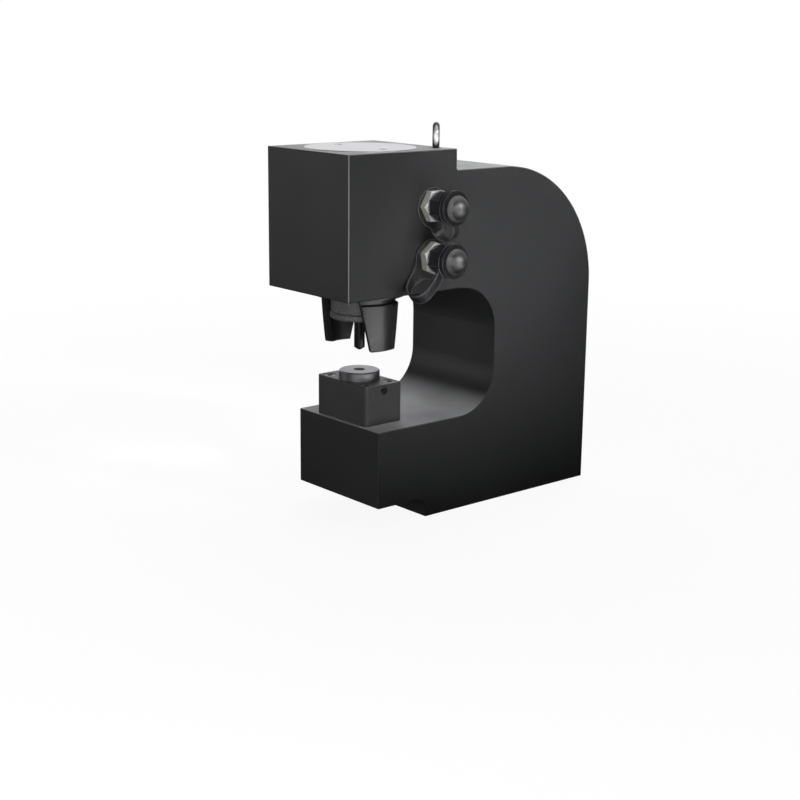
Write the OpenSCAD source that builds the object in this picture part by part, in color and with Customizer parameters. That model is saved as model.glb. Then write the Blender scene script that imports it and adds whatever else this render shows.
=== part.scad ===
// Hydraulic hole punch: a one-piece C frame that stands on its foot, with a double-acting
// cylinder in its head, a screw-on punch, a two-legged stripper, a raised die and two
// quick couplings under tethered dust caps.
// X runs across the frame, Y from the front of the head to the back, Z up.
// The origin is the middle of the foot's resting face.

/* [Frame] */
// Width of the whole frame block
body_w = 130; // [118:1:160]
// Depth from the front of the head to the back
body_depth = 339; // [325:1:400]
// Depth of the raised head from its front face
head_depth = 138; // [132:1:150]
// Height of the head from the throat's ceiling to its top face
head_len = 141; // [138:1:170]
// How far the deck behind the head lies below the head's top face
deck_drop = 21; // [8:1:31]
// Radius of the big rounded back corner
back_r = 132; // [90:1:138]
// Radius that breaks the outer corners of the side outline
corner_r = 1; // [1:0.5:6]
// Width of the chamfer along the side edges
edge_chamfer = 0.75; // [0.5:0.25:3]

/* [Throat] */
// Height of the throat's floor, the top of the lower arm
throat_floor = 100; // [85:1:120]
// Height of the throat from its floor to the underside of the head
throat_open = 135; // [130:1:140]
// Depth of the throat's back wall from the front of the head
throat_back = 196; // [185:1:215]
// Radius of the throat's inner corners
throat_r = 47.5; // [25:0.5:60]

/* [Foot and arm] */
// Distance of the arm's front face behind the front of the head
arm_front = 38.5; // [0:0.5:42]
// Height of the arm's underside above the floor
arm_under = 20.5; // [12:0.5:30]
// Distance of the foot's front face behind the front of the head
foot_front = 102; // [94:1:120]
// Radius of the fillet between arm and foot
foot_fillet = 10; // [4:0.5:11]

/* [Cylinder] */
// Distance of the punch axis behind the front of the head
axis_y = 66.5; // [66.5:0.5:72]
// Diameter of the cylinder bore
bore_d = 95; // [88:0.5:98]
// Height of the cylinder chamber's floor above the throat's ceiling
chamber_rise = 23; // [21:0.5:25]
// Diameter of the piston rod
rod_d = 56; // [50:0.5:57]
// Length of the piston
piston_len = 28; // [24:0.5:30]
// Working stroke of the ram
stroke = 28; // [20:0.5:30]
// Running gap on the radius of the piston in its bore
piston_gap = 0.08; // [0.05:0.01:0.1]
// Running gap on the radius of the rod in its bush
rod_gap = 0.05; // [0.03:0.01:0.08]

/* [Cover] */
// Diameter of the round cover in the top face
cover_d = 112.6; // [108:0.2:116]
// Thickness of the cover's flange
cover_flange = 8; // [6:0.5:12]
// How far the cover stands above the top face
cover_proud = 0.6; // [0:0.1:1.5]
// Length of the cover's threaded plug under its flange
cover_plug = 34; // [26:0.5:36]
// Diameter of the two spanner holes in the cover
spanner_hole_d = 8; // [5:0.5:10]
// Distance between the two spanner holes
spanner_span = 70; // [50:1:84]

/* [Punch and nut] */
// Diameter of the punch and of the hole that it makes
punch_d = 11; // [6:0.5:14]
// Length of the punch from its nut to its cutting edge
punch_reach = 30.6; // [29:0.2:33]
// Length of the pilot point below the cutting edge
pilot_len = 2.6; // [1:0.1:4]
// Diameter of the punch's head
punch_head_d = 22; // [18:0.5:26]
// Thickness of the punch's head
punch_head_len = 6; // [4:0.5:7]
// Largest diameter of the punch nut
nut_d = 60.6; // [58:0.2:62]
// Length of the punch nut
nut_len = 28.8; // [26:0.2:30]
// How far the punch nut's upper face stands below the throat's ceiling with the ram up
nut_sink = 2; // [1:0.5:5]
// Height of the raised band round the foot of the nut
nut_band = 6.4; // [3:0.2:8]
// Diameter of the thread that carries the punch nut
nut_thread_d = 44; // [36:0.5:48]

/* [Stripper] */
// How far the stripper's legs reach below the throat's ceiling
stripper_reach = 59.5; // [55:0.5:60]
// Outer diameter across the legs
leg_d = 81; // [77:0.5:86]
// Half the angle that a leg spans at its foot
leg_foot_angle = 22; // [19:0.5:27]
// Half the angle that a leg spans at its shoulder
leg_top_angle = 36.5; // [32:0.5:40]
// Thickness of the flange under the head
flange_len = 6; // [5:0.5:7]
// Diameter of the flange
flange_d = 93; // [91:0.5:96]
// Depth of the undercut between flange and legs
undercut = 3; // [1:0.25:4]
// Height of the undercut
undercut_len = 6; // [4:0.5:8]
// Gap on the radius between the nut and the stripper
nut_gap = 1.5; // [0.8:0.1:2.5]

/* [Die and holder] */
// Height of the die's top face above the throat's floor
die_rise = 50; // [46:0.5:52]
// Diameter of the die
die_d = 42; // [36:0.5:44]
// Height of the die
die_len = 22; // [18:0.5:26]
// How far the die stands out of its holder
die_proud = 9; // [5:0.5:12]
// Gap on the radius between punch and die
die_gap = 0.35; // [0.3:0.05:0.6]
// Width of the block that holds the die, across the frame
holder_w = 80; // [76:0.5:90]
// Depth of the die holder, front to back
holder_depth = 48; // [46:0.5:48]
// Diameter of the holder's spigot in the arm
spigot_d = 44; // [36:0.5:46]
// Length of the holder's spigot
spigot_len = 18; // [10:0.5:24]
// Diameter of the slug passage through holder and arm
slug_d = 22; // [18:0.5:26]

/* [Couplings] */
// Distance of the couplings behind the front of the head
port_y = 105.3; // [104:0.5:110]
// Height of the lower coupling, which returns the ram, above the throat's ceiling
port_rise = 35; // [31:0.5:37]
// Distance from the lower coupling up to the upper one, which drives the ram down
port_pitch = 52; // [49:0.5:56]
// Diameter of the threaded ports in the frame
port_d = 16.4; // [14:0.2:18]
// Depth of the threaded ports
port_len = 15; // [12:0.5:18]
// Diameter of the oil passages
passage_d = 5; // [3:0.5:6]
// Width across the flats of the plated adapter
adapter_flats = 29.5; // [28:0.5:31]
// Length of the adapter's hexagon
adapter_len = 8.3; // [6:0.1:12]
// Width across the flats of the dark coupling body
nipple_flats = 26; // [24:0.5:27]
// Length of the coupling body's hexagon
nipple_len = 15.5; // [12:0.5:20]
// Diameter of the coupling's nose under the dust cap
nose_d = 19.2; // [17:0.2:21]
// Length of the coupling's nose
nose_len = 13.3; // [11.4:0.1:14.4]
// Travel of the sprung valve in the coupling's nose
poppet_travel = 4; // [2:0.5:5]
// Coils in the valve's spring
spring_turns = 7; // [5:1:8]
// Wire diameter of the valve's spring
spring_wire = 1; // [0.8:0.1:1.3]

/* [Dust caps] */
// Diameter of the cap's flange and of the tether's outer ring
cap_flange_d = 35; // [33:0.5:37]
// Diameter of the cap's grip
cap_grip_d = 27; // [25:0.5:28]
// Length of the cap's grip
cap_grip_len = 5.7; // [5:0.1:8]
// Height of the cap's domed end
cap_dome_len = 6.5; // [5:0.5:9]
// Depth of the grooves round the cap's grip
grip_groove = 0.5; // [0.3:0.1:0.8]
// Grooves round the cap's grip
grip_grooves = 3; // [1:1:3]

/* [Tethers] */
// Thickness of the flat tether
tether_t = 1.6; // [1.2:0.1:2]
// Diameter of the tether's ring behind the adapter
tether_ring_d = 40; // [37:0.5:41]
// How far that ring hangs off the adapter's axis
ring_hang = 2.2; // [0:0.1:2.4]
// Width of the tether's band
tether_w = 10.4; // [9:0.2:11]
// Angle of the upper tether from straight down, towards the back
upper_tilt = 16; // [12:1:20]
// Angle of the lower tether from straight down, towards the front
lower_tilt = 51; // [44:1:56]
// Distance from the coupling's axis to the lowest part of the upper tether
upper_drop = 37.6; // [36:0.1:38]
// Distance from the coupling's axis to the lowest part of the lower tether
lower_drop = 54.4; // [50:0.2:58]

/* [Lifting eye] */
// Distance of the eye from the middle of the frame
eye_x = 45; // [40:0.5:50]
// Distance of the eye behind the front of the head
eye_y = 127; // [124:0.5:128]
// Diameter of the eye's round bar
eye_bar_d = 7.1; // [6:0.1:8]
// Height of the eye above the head's top face
eye_h = 25.4; // [24:0.2:34]
// Angle of the eye's plane from the front
eye_turn = 138; // [0:1:180]
// Diameter of the eye's threaded shank
eye_shank_d = 8; // [7:0.5:10]
// Length of the eye's threaded shank in the head
eye_shank_len = 15; // [12:0.5:18]

/* [Hidden] */
$fn = 96;
fine_fn = 48;
cut = 1;
fit = 0.1;
seat = 0.3;
arc_overrun = 2;
half_w = body_w / 2;
foot_mid = (foot_front + body_depth) / 2;
throat_top = throat_floor + throat_open;
head_top = throat_top + head_len;
deck_top = head_top - deck_drop;
bore_r = bore_d / 2;
rod_r = rod_d / 2;

// Cylinder stack
cover_under = head_top - cover_flange;
plug_end = cover_under - cover_plug;
chamber_floor = throat_top + chamber_rise;
gland_collar = 7.7;
gland_stop = chamber_floor + gland_collar;
piston_top = gland_stop + stroke + piston_len + seat;
piston_bottom = piston_top - piston_len;
boss_r = 36;
boss_end = piston_top + seat;
cover_groove_rise = 6;
cover_groove_z = plug_end + cover_groove_rise;
o_ring_r = 2.5;
spanner_hole_len = 5;
cover_edge = 0.5;

// Rod bush in the floor of the chamber
gland_r = 34;
rod_way_len = 5;
rod_way_gap = 0.6;
gland_seat = throat_top + rod_way_len;
gland_collar_r = 40;
rod_seal_rise = 10;
rod_seal_z = gland_seat + rod_seal_rise;
rod_seal_len = 6;
rod_seal_depth = 4;
wiper_len = 4;
wiper_depth = 3.5;
gland_ring_rise = 7;
gland_ring_z = gland_seat + gland_ring_rise;
gland_ring_r = 1.5;

// Piston rings
seal_depth = 5;
seal_len = 7;
seal_drop = 15;
seal_z = piston_top - seal_drop;
guide_depth = 2.5;
guide_len = 6;
guide_rise = 4;
guide_z = piston_bottom + guide_rise;
piston_chamfer = 1;

// Punch and nut stack
punch_r = punch_d / 2;
nut_r = nut_d / 2;
nut_top = throat_top - nut_sink;
nut_bottom = nut_top - nut_len;
punch_tip = nut_bottom - punch_reach;
nut_lip = 4.2;
punch_head_z = nut_bottom + nut_lip;
rod_end = punch_head_z + punch_head_len;
nut_waist = 0.7;
nut_groove = 1.5;
nut_foot_edge = 1.4;
nut_top_edge = 1.2;
pilot_tip = 0.3;

// Stripper
stripper_foot = throat_top - stripper_reach;
stripper_bore_r = nut_r + nut_gap;
leg_r = leg_d / 2;
leg_splay = 24;
leg_edge = 1;
leg_shoulder = throat_top - flange_len - undercut_len;
screw_circle = (stripper_bore_r + flange_d / 2) / 2;
screw_angles = [60, 120, 240, 300];
m6_r = 3;
m6_len = 16;
m6_head_r = 5.8;
m6_head = 3.3;
m6_socket_r = 2.3;
m6_socket = 2.4;

// Die and holder
die_top = throat_floor + die_rise;
holder_top = die_top - die_proud;
die_seat = die_top - die_len;
die_hole_r = punch_r + die_gap;
die_land = 7;
die_edge = 1;
die_relief_r = die_hole_r + 1.6;
holder_corner = 4;
holder_chamfer = 2;
m8_at = [for (sx = [-1, 1], sy = [-1, 1]) [sx * (holder_w / 2 - 10), sy * (holder_depth / 2 - 9)]];
m8_r = 4;
m8_head_r = 6.5;
m8_head = 8;
m8_socket_r = 3.4;
m8_socket = 4.5;
m8_engage = 16;
m8_seat = holder_top - m8_head;
m8_end = throat_floor - m8_engage;
set_r = 4;
set_z = (holder_top + die_seat) / 2;
set_flat = 1;
set_sunk = 3;
set_socket_r = 2.3;
set_socket = 4;

// Coupling stack, measured outward from the frame's side face
port_lower_z = throat_top + port_rise;
port_upper_z = port_lower_z + port_pitch;
upper_adapter_turn = 30;
lower_adapter_turn = 8;
upper_nipple_turn = 0;
lower_nipple_turn = -11;
hex_face_cut = 0.4;
adapter_chamfer = 2.2;
nipple_chamfer = 1;
nipple_collar = 0.9;
neck_r = 10;
hex_back = tether_t + seat;
hex_front = hex_back + adapter_len;
socket_r = 7.2;
socket_wall = 1.2;
socket_floor = hex_back + socket_wall;
adapter_bore_r = 3.8;
nipple_front = hex_front + nipple_len;
nose_r = nose_d / 2;
nose_end = nipple_front + nose_len;
valve_bore_r = 6;
valve_hole_r = 4;
valve_cone = 3;
valve_lip = 2.6;
nose_edge = 1;
valve_seat = nose_end - valve_lip - valve_cone;
poppet_len = 5;
poppet_guide_r = 2.3;
poppet_back = valve_seat - poppet_len;
poppet_stem = poppet_travel + 4;
spring_r = 4.3;

// Dust cap stack
cap_back = nipple_front + seat;
cap_lip = 0.9;
cap_end_gap = 1.2;
groove_half = 0.4;
ring_gap = 0.2;
ring_len = 3.4;
ring_in_r = 15.2;
ring_back = cap_back + cap_lip + ring_gap;
cap_neck_len = 2.3;
cap_neck_r = ring_in_r - ring_gap;
cap_flange = ring_back + ring_len + cap_neck_len;
cap_flange_len = 2.5;
cap_grip = cap_flange + cap_flange_len;
cap_dome = cap_grip + cap_grip_len;
cap_end = cap_dome + cap_dome_len;
cap_bore_r = nose_r + seat;
cap_bore_end = nose_end + cap_end_gap;

// Tethers: bends of the strap in its side view, from the frame outward to the cap
tether_mid = (seat + tether_t) / 2;
upper_bends = [12.6, 16.4, 16.4];
lower_bends = [24.9, 9.75, 60];
ring_shoulder = 4;
strap_inset = 1;
flare_root = [19, 9.7];
flare_mid = [27, 7.6];
flare_end = 34;

// Placing and shaping helpers

// Puts a side outline, drawn in Y and Z, across the given width
module across(w) {
    translate([0, -foot_mid, 0]) rotate([90, 0, 90]) linear_extrude(w, center = true) children();
}

module on_axis(z = 0) {
    translate([0, axis_y - foot_mid, z]) children();
}

// Local Z points out of the frame's side face
module on_port(z) {
    translate([half_w, port_y - foot_mid, z]) rotate([0, 90, 0]) children();
}

module drum(r, z0, z1) {
    translate([0, 0, z0]) cylinder(h = z1 - z0, r = r);
}

module cone(r0, r1, z0, z1) {
    translate([0, 0, z0]) cylinder(h = z1 - z0, r1 = r0, r2 = r1);
}

module ring(r_out, r_in, z0, z1) {
    difference() {
        drum(r_out, z0, z1);
        drum(r_in, z0 - cut, z1 + cut);
    }
}

module o_ring(mid_r, wire_r, z) {
    translate([0, 0, z]) rotate_extrude() translate([mid_r, 0]) circle(wire_r, $fn = fine_fn);
}

// The piece of a square corner that lies outside a quarter circle, at p, turned by a
module corner(p, r, a) {
    translate(p) rotate(a) difference() {
        translate([-cut, -cut]) square(r + cut);
        translate([r, r]) circle(r);
    }
}

module fillet(p, r, a) {
    translate(p) rotate(a) difference() {
        square(r);
        translate([r, r]) circle(r);
    }
}

// Frame: side outline, cylinder, ports and seats

module side_outline() {
    difference() {
        union() {
            polygon([[foot_front, 0], [body_depth, 0], [body_depth, deck_top], [head_depth, deck_top],
                [head_depth, head_top], [0, head_top], [0, throat_top], [throat_back, throat_top],
                [throat_back, throat_floor], [arm_front, throat_floor], [arm_front, arm_under],
                [foot_front, arm_under]]);
            fillet([throat_back, throat_top], throat_r, 180);
            fillet([throat_back, throat_floor], throat_r, 90);
            fillet([foot_front, arm_under], foot_fillet, 180);
            fillet([head_depth, deck_top], corner_r, 0);
        }
        corner([body_depth, deck_top], back_r, 180);
        corner([0, head_top], corner_r, 270);
        corner([0, throat_top], corner_r, 0);
        corner([head_depth, head_top], corner_r, 180);
        corner([arm_front, throat_floor], corner_r, 270);
        corner([arm_front, arm_under], corner_r, 0);
        corner([foot_front, 0], corner_r, 0);
        corner([body_depth, 0], corner_r, 90);
    }
}

// Cuts the two side edges of a straight run of the outline, from p to q
module edge_cut(p, q) {
    run = q - p;
    side = edge_chamfer * sqrt(2);
    for (s = [-1, 1])
        translate([s * half_w, p[0] - foot_mid, p[1]])
            rotate([atan2(run[1], run[0]), 0, 0])
                rotate([0, 45, 0])
                    translate([-side / 2, 0, -side / 2])
                        cube([side, norm(run), side]);
}

module side_chamfers() {
    edge_cut([0, throat_top], [0, head_top]);
    edge_cut([0, head_top], [head_depth, head_top]);
    edge_cut([head_depth, head_top], [head_depth, deck_top + corner_r]);
    edge_cut([body_depth, 0], [body_depth, deck_top - back_r + arc_overrun]);
    edge_cut([head_depth + corner_r, deck_top], [body_depth - back_r + arc_overrun, deck_top]);
    edge_cut([0, throat_top], [throat_back - throat_r, throat_top]);
    edge_cut([arm_front, arm_under], [arm_front, throat_floor]);
    edge_cut([arm_front, throat_floor], [throat_back - throat_r, throat_floor]);
    for (s = [-1, 1])
        translate([s * half_w, body_depth - back_r - foot_mid, deck_top - back_r])
            rotate([0, 90, 0])
                rotate([0, 0, 90])
                    rotate_extrude(angle = 90)
                        translate([back_r, 0]) rotate(45) square(edge_chamfer * sqrt(2), center = true);
}

// Slanted oil way from a port to the cylinder wall, rising or falling by the given height
module oil_way(z, rise) {
    start = half_w - port_len + 3;
    bore_wall = sqrt(bore_r * bore_r - (port_y - axis_y) * (port_y - axis_y));
    run = start - bore_wall + passage_d;
    translate([start, port_y - foot_mid, z])
        rotate([0, -90 + atan2(rise, run), 0])
            cylinder(h = norm([run, rise]), r = passage_d / 2, $fn = fine_fn);
}

module port_bore(z) {
    on_port(z) drum(port_d / 2, -port_len, cut);
}

module frame() {
    color([0.17, 0.17, 0.18])
    difference() {
        across(body_w) side_outline();
        side_chamfers();
        on_axis() {
            drum(bore_r, chamber_floor, head_top + cut);
            drum(cover_d / 2 + seat, cover_under, head_top + cut);
            drum(gland_r, gland_seat, head_top);
            drum(rod_r + rod_way_gap, throat_top - cut, gland_seat + cut);
            drum(spigot_d / 2 + fit, throat_floor - spigot_len - fit, throat_floor + cut);
            drum(slug_d / 2, arm_under - cut, throat_floor);
            for (a = screw_angles)
                rotate(a) translate([screw_circle, 0, throat_top - cut])
                    cylinder(h = m6_len, r = m6_r, $fn = fine_fn);
            for (p = m8_at)
                translate(p) drum(m8_r, m8_end - 2, throat_floor + cut);
        }
        port_bore(port_upper_z);
        port_bore(port_lower_z);
        oil_way(port_upper_z, (boss_end + plug_end) / 2 + 3 - port_upper_z);
        oil_way(port_lower_z, chamber_floor + passage_d / 2 + 1 - port_lower_z);
        translate([eye_x, eye_y - foot_mid, head_top - eye_shank_len - seat])
            cylinder(h = eye_shank_len + cut, r = eye_shank_d / 2, $fn = fine_fn);
    }
}

// Cylinder cover: a screwed plug with a round flange let into the top face

module cylinder_cover() {
    cover_top = head_top + cover_proud;
    color([0.45, 0.45, 0.46])
    on_axis() difference() {
        union() {
            drum(cover_d / 2, cover_under, cover_top - cover_edge);
            cone(cover_d / 2, cover_d / 2 - cover_edge, cover_top - cover_edge, cover_top);
            drum(bore_r - fit, plug_end, cover_under);
            drum(boss_r, boss_end, plug_end);
        }
        ring(bore_r + cut, bore_r - 2 * o_ring_r - 2 * fit, cover_groove_z - o_ring_r - fit,
            cover_groove_z + o_ring_r + fit);
        for (s = [-1, 1])
            translate([s * spanner_span / 2, 0, head_top - spanner_hole_len])
                cylinder(h = spanner_hole_len + cut + cover_proud, r = spanner_hole_d / 2, $fn = fine_fn);
    }
}

module cover_o_ring() {
    color([0.08, 0.08, 0.08]) on_axis() o_ring(bore_r - o_ring_r - fit / 2, o_ring_r - fit / 4, cover_groove_z);
}

// Rod bush with its seals

module rod_gland() {
    color([0.55, 0.45, 0.28])
    on_axis() difference() {
        union() {
            drum(gland_r - fit / 2, gland_seat, chamber_floor);
            drum(gland_collar_r, chamber_floor, gland_stop);
        }
        drum(rod_r + rod_gap, gland_seat - cut, gland_stop + cut);
        drum(rod_r + rod_seal_depth, rod_seal_z, rod_seal_z + rod_seal_len);
        drum(rod_r + wiper_depth, gland_seat - cut, gland_seat + wiper_len);
        ring(gland_r + cut, gland_r - 2 * gland_ring_r - fit, gland_ring_z - gland_ring_r - fit,
            gland_ring_z + gland_ring_r + fit);
    }
}

module gland_o_ring() {
    color([0.08, 0.08, 0.08])
    on_axis() o_ring(gland_r - gland_ring_r - fit / 2, gland_ring_r - fit / 4, gland_ring_z);
}

module rod_seal() {
    color([0.15, 0.25, 0.45])
    on_axis() ring(rod_r + rod_seal_depth - fit / 2, rod_r + rod_gap, rod_seal_z + fit,
        rod_seal_z + rod_seal_len - fit);
}

module rod_wiper() {
    color([0.1, 0.1, 0.1])
    on_axis() difference() {
        drum(rod_r + wiper_depth - fit / 2, gland_seat + fit, gland_seat + wiper_len - fit);
        drum(rod_r + rod_gap, gland_seat, gland_seat + wiper_len);
        cone(rod_r + 2, rod_r, gland_seat, gland_seat + 1.6);
    }
}

// Ram: piston and rod in one forging, its rings, the punch nut and the punch

module piston_rod() {
    piston_r = bore_r - piston_gap;
    color([0.6, 0.6, 0.62])
    on_axis() difference() {
        union() {
            cone(piston_r - piston_chamfer, piston_r, piston_bottom, piston_bottom + piston_chamfer);
            drum(piston_r, piston_bottom + piston_chamfer, piston_top - piston_chamfer);
            cone(piston_r, piston_r - piston_chamfer, piston_top - piston_chamfer, piston_top);
            drum(rod_r, nut_top, piston_bottom);
            drum(nut_thread_d / 2, rod_end, nut_top);
        }
        ring(bore_r + cut, bore_r - seal_depth, seal_z, seal_z + seal_len);
        ring(bore_r + cut, bore_r - guide_depth, guide_z, guide_z + guide_len);
    }
}

module piston_seal() {
    color([0.15, 0.25, 0.45])
    on_axis() ring(bore_r - piston_gap / 2, bore_r - seal_depth + fit, seal_z + fit, seal_z + seal_len - fit);
}

module piston_guide_ring() {
    color([0.4, 0.3, 0.2])
    on_axis() ring(bore_r - piston_gap / 2, bore_r - guide_depth + fit, guide_z + fit,
        guide_z + guide_len - fit);
}

module punch_nut() {
    waist_r = nut_r - nut_waist;
    band_top = nut_bottom + nut_band;
    color([0.22, 0.22, 0.23])
    on_axis() difference() {
        rotate_extrude() polygon([[0, nut_bottom], [nut_r - nut_foot_edge, nut_bottom],
            [nut_r, nut_bottom + nut_foot_edge], [nut_r, band_top],
            [waist_r - nut_groove / 2, band_top + nut_groove / 3],
            [waist_r - nut_groove / 2, band_top + nut_groove * 2 / 3], [waist_r, band_top + nut_groove],
            [waist_r, nut_top - nut_top_edge], [waist_r - nut_top_edge, nut_top], [0, nut_top]]);
        drum(punch_r + seat, nut_bottom - cut, nut_top);
        drum(punch_head_d / 2 + seat, punch_head_z, nut_top);
        drum(nut_thread_d / 2 + fit / 2, rod_end, nut_top + cut);
    }
}

module punch() {
    color([0.12, 0.12, 0.13])
    on_axis() {
        cone(punch_r * pilot_tip, punch_r, punch_tip - pilot_len, punch_tip);
        drum(punch_r, punch_tip, punch_head_z);
        drum(punch_head_d / 2, punch_head_z, rod_end);
    }
}

// Stripper: a flanged ring whose front and back are cut away to leave two legs

// Everything on one side of a leg's cut, a plane that leans in towards the foot
module leg_side() {
    rise = leg_shoulder - stripper_foot;
    foot_w = leg_r * sin(leg_foot_angle - leg_splay);
    top_w = leg_r * sin(leg_top_angle - leg_splay);
    lean = (top_w - foot_w) / rise;
    rotate([90, 0, 90 + leg_splay]) linear_extrude(2 * flange_d, center = true)
        polygon([[-flange_d, stripper_foot - cut], [foot_w - lean * cut, stripper_foot - cut],
            [top_w + lean * (throat_top - leg_shoulder), throat_top], [-flange_d, throat_top]]);
}

module stripper() {
    undercut_r = leg_r - undercut;
    flange_under = throat_top - flange_len;
    color([0.2, 0.2, 0.21])
    on_axis() difference() {
        union() {
            ring(flange_d / 2, stripper_bore_r, flange_under, throat_top);
            for (a = [0, 180])
                rotate(a) intersection() {
                    rotate_extrude() polygon([[stripper_bore_r, stripper_foot], [leg_r - leg_edge, stripper_foot],
                        [leg_r, stripper_foot + leg_edge], [leg_r, leg_shoulder - leg_edge],
                        [leg_r - leg_edge, leg_shoulder], [undercut_r, leg_shoulder + leg_edge / 2],
                        [undercut_r, flange_under + fit], [stripper_bore_r, flange_under + fit]]);
                    leg_side();
                    mirror([0, 1, 0]) leg_side();
                }
        }
        for (a = screw_angles)
            rotate(a) translate([screw_circle, 0, 0]) {
                translate([0, 0, flange_under - cut])
                    cylinder(h = flange_len + 2 * cut, r = m6_r + seat, $fn = fine_fn);
                translate([0, 0, flange_under - fit])
                    cylinder(h = m6_head + fit, r1 = m6_head_r + fit, r2 = m6_r + fit, $fn = fine_fn);
            }
    }
}

module stripper_screws() {
    flange_under = throat_top - flange_len;
    color([0.15, 0.15, 0.15])
    on_axis() for (a = screw_angles)
        rotate(a) translate([screw_circle, 0, flange_under]) difference() {
            union() {
                cylinder(h = m6_head, r1 = m6_head_r, r2 = m6_r, $fn = fine_fn);
                cylinder(h = flange_len + m6_len - 2 * cut, r = m6_r - fit / 2, $fn = fine_fn);
            }
            translate([0, 0, -cut]) cylinder(h = m6_socket + cut, r = m6_socket_r, $fn = 6);
        }
}

// Die holder, die and their screws

module holder_outline() {
    side = [holder_w / 2, holder_depth / 2];
    difference() {
        square(2 * side, center = true);
        corner([-side[0], -side[1]], holder_corner, 0);
        corner([side[0], -side[1]], holder_corner, 90);
        corner([side[0], side[1]], holder_corner, 180);
        corner([-side[0], side[1]], holder_corner, 270);
    }
}

module die_holder() {
    color([0.2, 0.2, 0.21])
    on_axis() difference() {
        union() {
            translate([0, 0, throat_floor]) linear_extrude(holder_top - throat_floor) holder_outline();
            drum(spigot_d / 2, throat_floor - spigot_len, throat_floor + cut);
        }
        drum(slug_d / 2, throat_floor - spigot_len - cut, holder_top);
        drum(die_d / 2 + fit, die_seat, holder_top + cut);
        for (p = m8_at)
            translate(p) {
                drum(m8_r + seat, throat_floor - cut, holder_top);
                drum(m8_head_r + seat, m8_seat, holder_top + cut);
            }
        translate([0, 0, set_z]) rotate([0, 90, 0]) drum(set_r, 0, holder_w / 2 + cut);
        for (s = [-1, 1])
            translate([0, s * holder_depth / 2, holder_top]) rotate([45, 0, 0])
                cube([holder_w + cut, holder_chamfer, holder_chamfer], center = true);
    }
}

module die_holder_screws() {
    color([0.15, 0.15, 0.15])
    on_axis() for (p = m8_at)
        translate(p) difference() {
            union() {
                drum(m8_head_r, m8_seat, holder_top - 0.5);
                drum(m8_r - fit / 2, m8_end, m8_seat + cut);
            }
            drum_hex(m8_socket_r, holder_top - m8_socket, holder_top);
        }
}

module die() {
    color([0.5, 0.5, 0.52])
    on_axis() difference() {
        union() {
            drum(die_d / 2, die_seat, die_top - die_edge);
            cone(die_d / 2, die_d / 2 - die_edge, die_top - die_edge, die_top);
        }
        drum(die_hole_r, die_seat - cut, die_top + cut);
        drum(die_relief_r, die_seat - cut, die_top - die_land);
        translate([die_d / 2 - set_flat, -die_d / 2, die_seat - cut])
            cube([set_flat + cut, die_d, set_z + set_r + 2 * cut - die_seat]);
    }
}

module die_set_screw() {
    tip = die_d / 2 - set_flat + fit;
    outer = holder_w / 2 - set_sunk;
    color([0.15, 0.15, 0.15])
    on_axis(set_z) rotate([0, 90, 0]) difference() {
        drum(set_r - fit / 2, tip, outer);
        drum_hex(set_socket_r, outer - set_socket, outer + cut);
    }
}

// Lifting eye, screwed into a back corner of the head

module lifting_eye() {
    bar_r = eye_bar_d / 2;
    loop_r = (eye_h + 1) / 2 - bar_r;
    mid_z = head_top + eye_h - bar_r - loop_r;
    color([0.7, 0.7, 0.72])
    translate([eye_x, eye_y - foot_mid, 0]) rotate(eye_turn) {
        translate([0, 0, mid_z]) rotate([90, 0, 0]) rotate_extrude() translate([loop_r, 0]) circle(bar_r, $fn = fine_fn);
        translate([0, 0, head_top - 1]) cylinder(h = mid_z - loop_r + 2 - head_top, r = bar_r - 0.15, $fn = fine_fn);
        translate([0, 0, head_top - eye_shank_len])
            cylinder(h = eye_shank_len - 0.4, r = eye_shank_d / 2 - fit / 2, $fn = fine_fn);
    }
}

// Couplings: plated adapter, dark nipple, sprung valve, dust cap and tether

// A hexagon with its corners turned down at its outer end
module hex_bar(flats, z0, z1, chamfer) {
    tip_r = flats / sqrt(3);
    face_r = flats / 2 - hex_face_cut;
    intersection() {
        drum_hex(tip_r, z0, z1);
        rotate_extrude() polygon([[0, z0], [tip_r + fit, z0], [tip_r + fit, z1 - chamfer], [face_r, z1], [0, z1]]);
    }
}

module drum_hex(tip_r, z0, z1) {
    translate([0, 0, z0]) cylinder(h = z1 - z0, r = tip_r, $fn = 6);
}

module adapter(z, turn) {
    color([0.62, 0.62, 0.6])
    on_port(z) difference() {
        union() {
            drum(port_d / 2 - fit, 1 - port_len, 0);
            drum(neck_r, 0, hex_back);
            rotate(turn) hex_bar(adapter_flats, hex_back, hex_front, adapter_chamfer);
        }
        drum(adapter_bore_r, -port_len, hex_front + cut);
        drum(socket_r, socket_floor, hex_front + cut);
    }
}

module nipple(z, turn) {
    color([0.13, 0.13, 0.15])
    on_port(z) difference() {
        union() {
            drum(socket_r - fit, socket_floor, hex_front + cut);
            drum(adapter_flats / 2 - hex_face_cut, hex_front, hex_front + nipple_collar);
            rotate(turn) hex_bar(nipple_flats, hex_front, nipple_front, nipple_chamfer);
            drum(nose_r, nipple_front - cut, nose_end - nose_edge);
            cone(nose_r, nose_r - nose_edge, nose_end - nose_edge, nose_end);
        }
        drum(valve_bore_r, socket_floor - cut, valve_seat);
        cone(valve_bore_r, valve_hole_r, valve_seat, valve_seat + valve_cone);
        drum(valve_hole_r, valve_seat, nose_end + cut);
    }
}

module poppet(z) {
    color([0.65, 0.65, 0.66])
    on_port(z) {
        drum(poppet_guide_r, poppet_back - poppet_stem, poppet_back);
        drum(valve_bore_r - seat, poppet_back, valve_seat - seat);
        cone(valve_bore_r - seat, valve_hole_r - seat, valve_seat - seat, valve_seat + valve_cone - seat);
        drum(valve_hole_r - seat, valve_seat + valve_cone - seat, nose_end - 0.4);
    }
}

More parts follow.
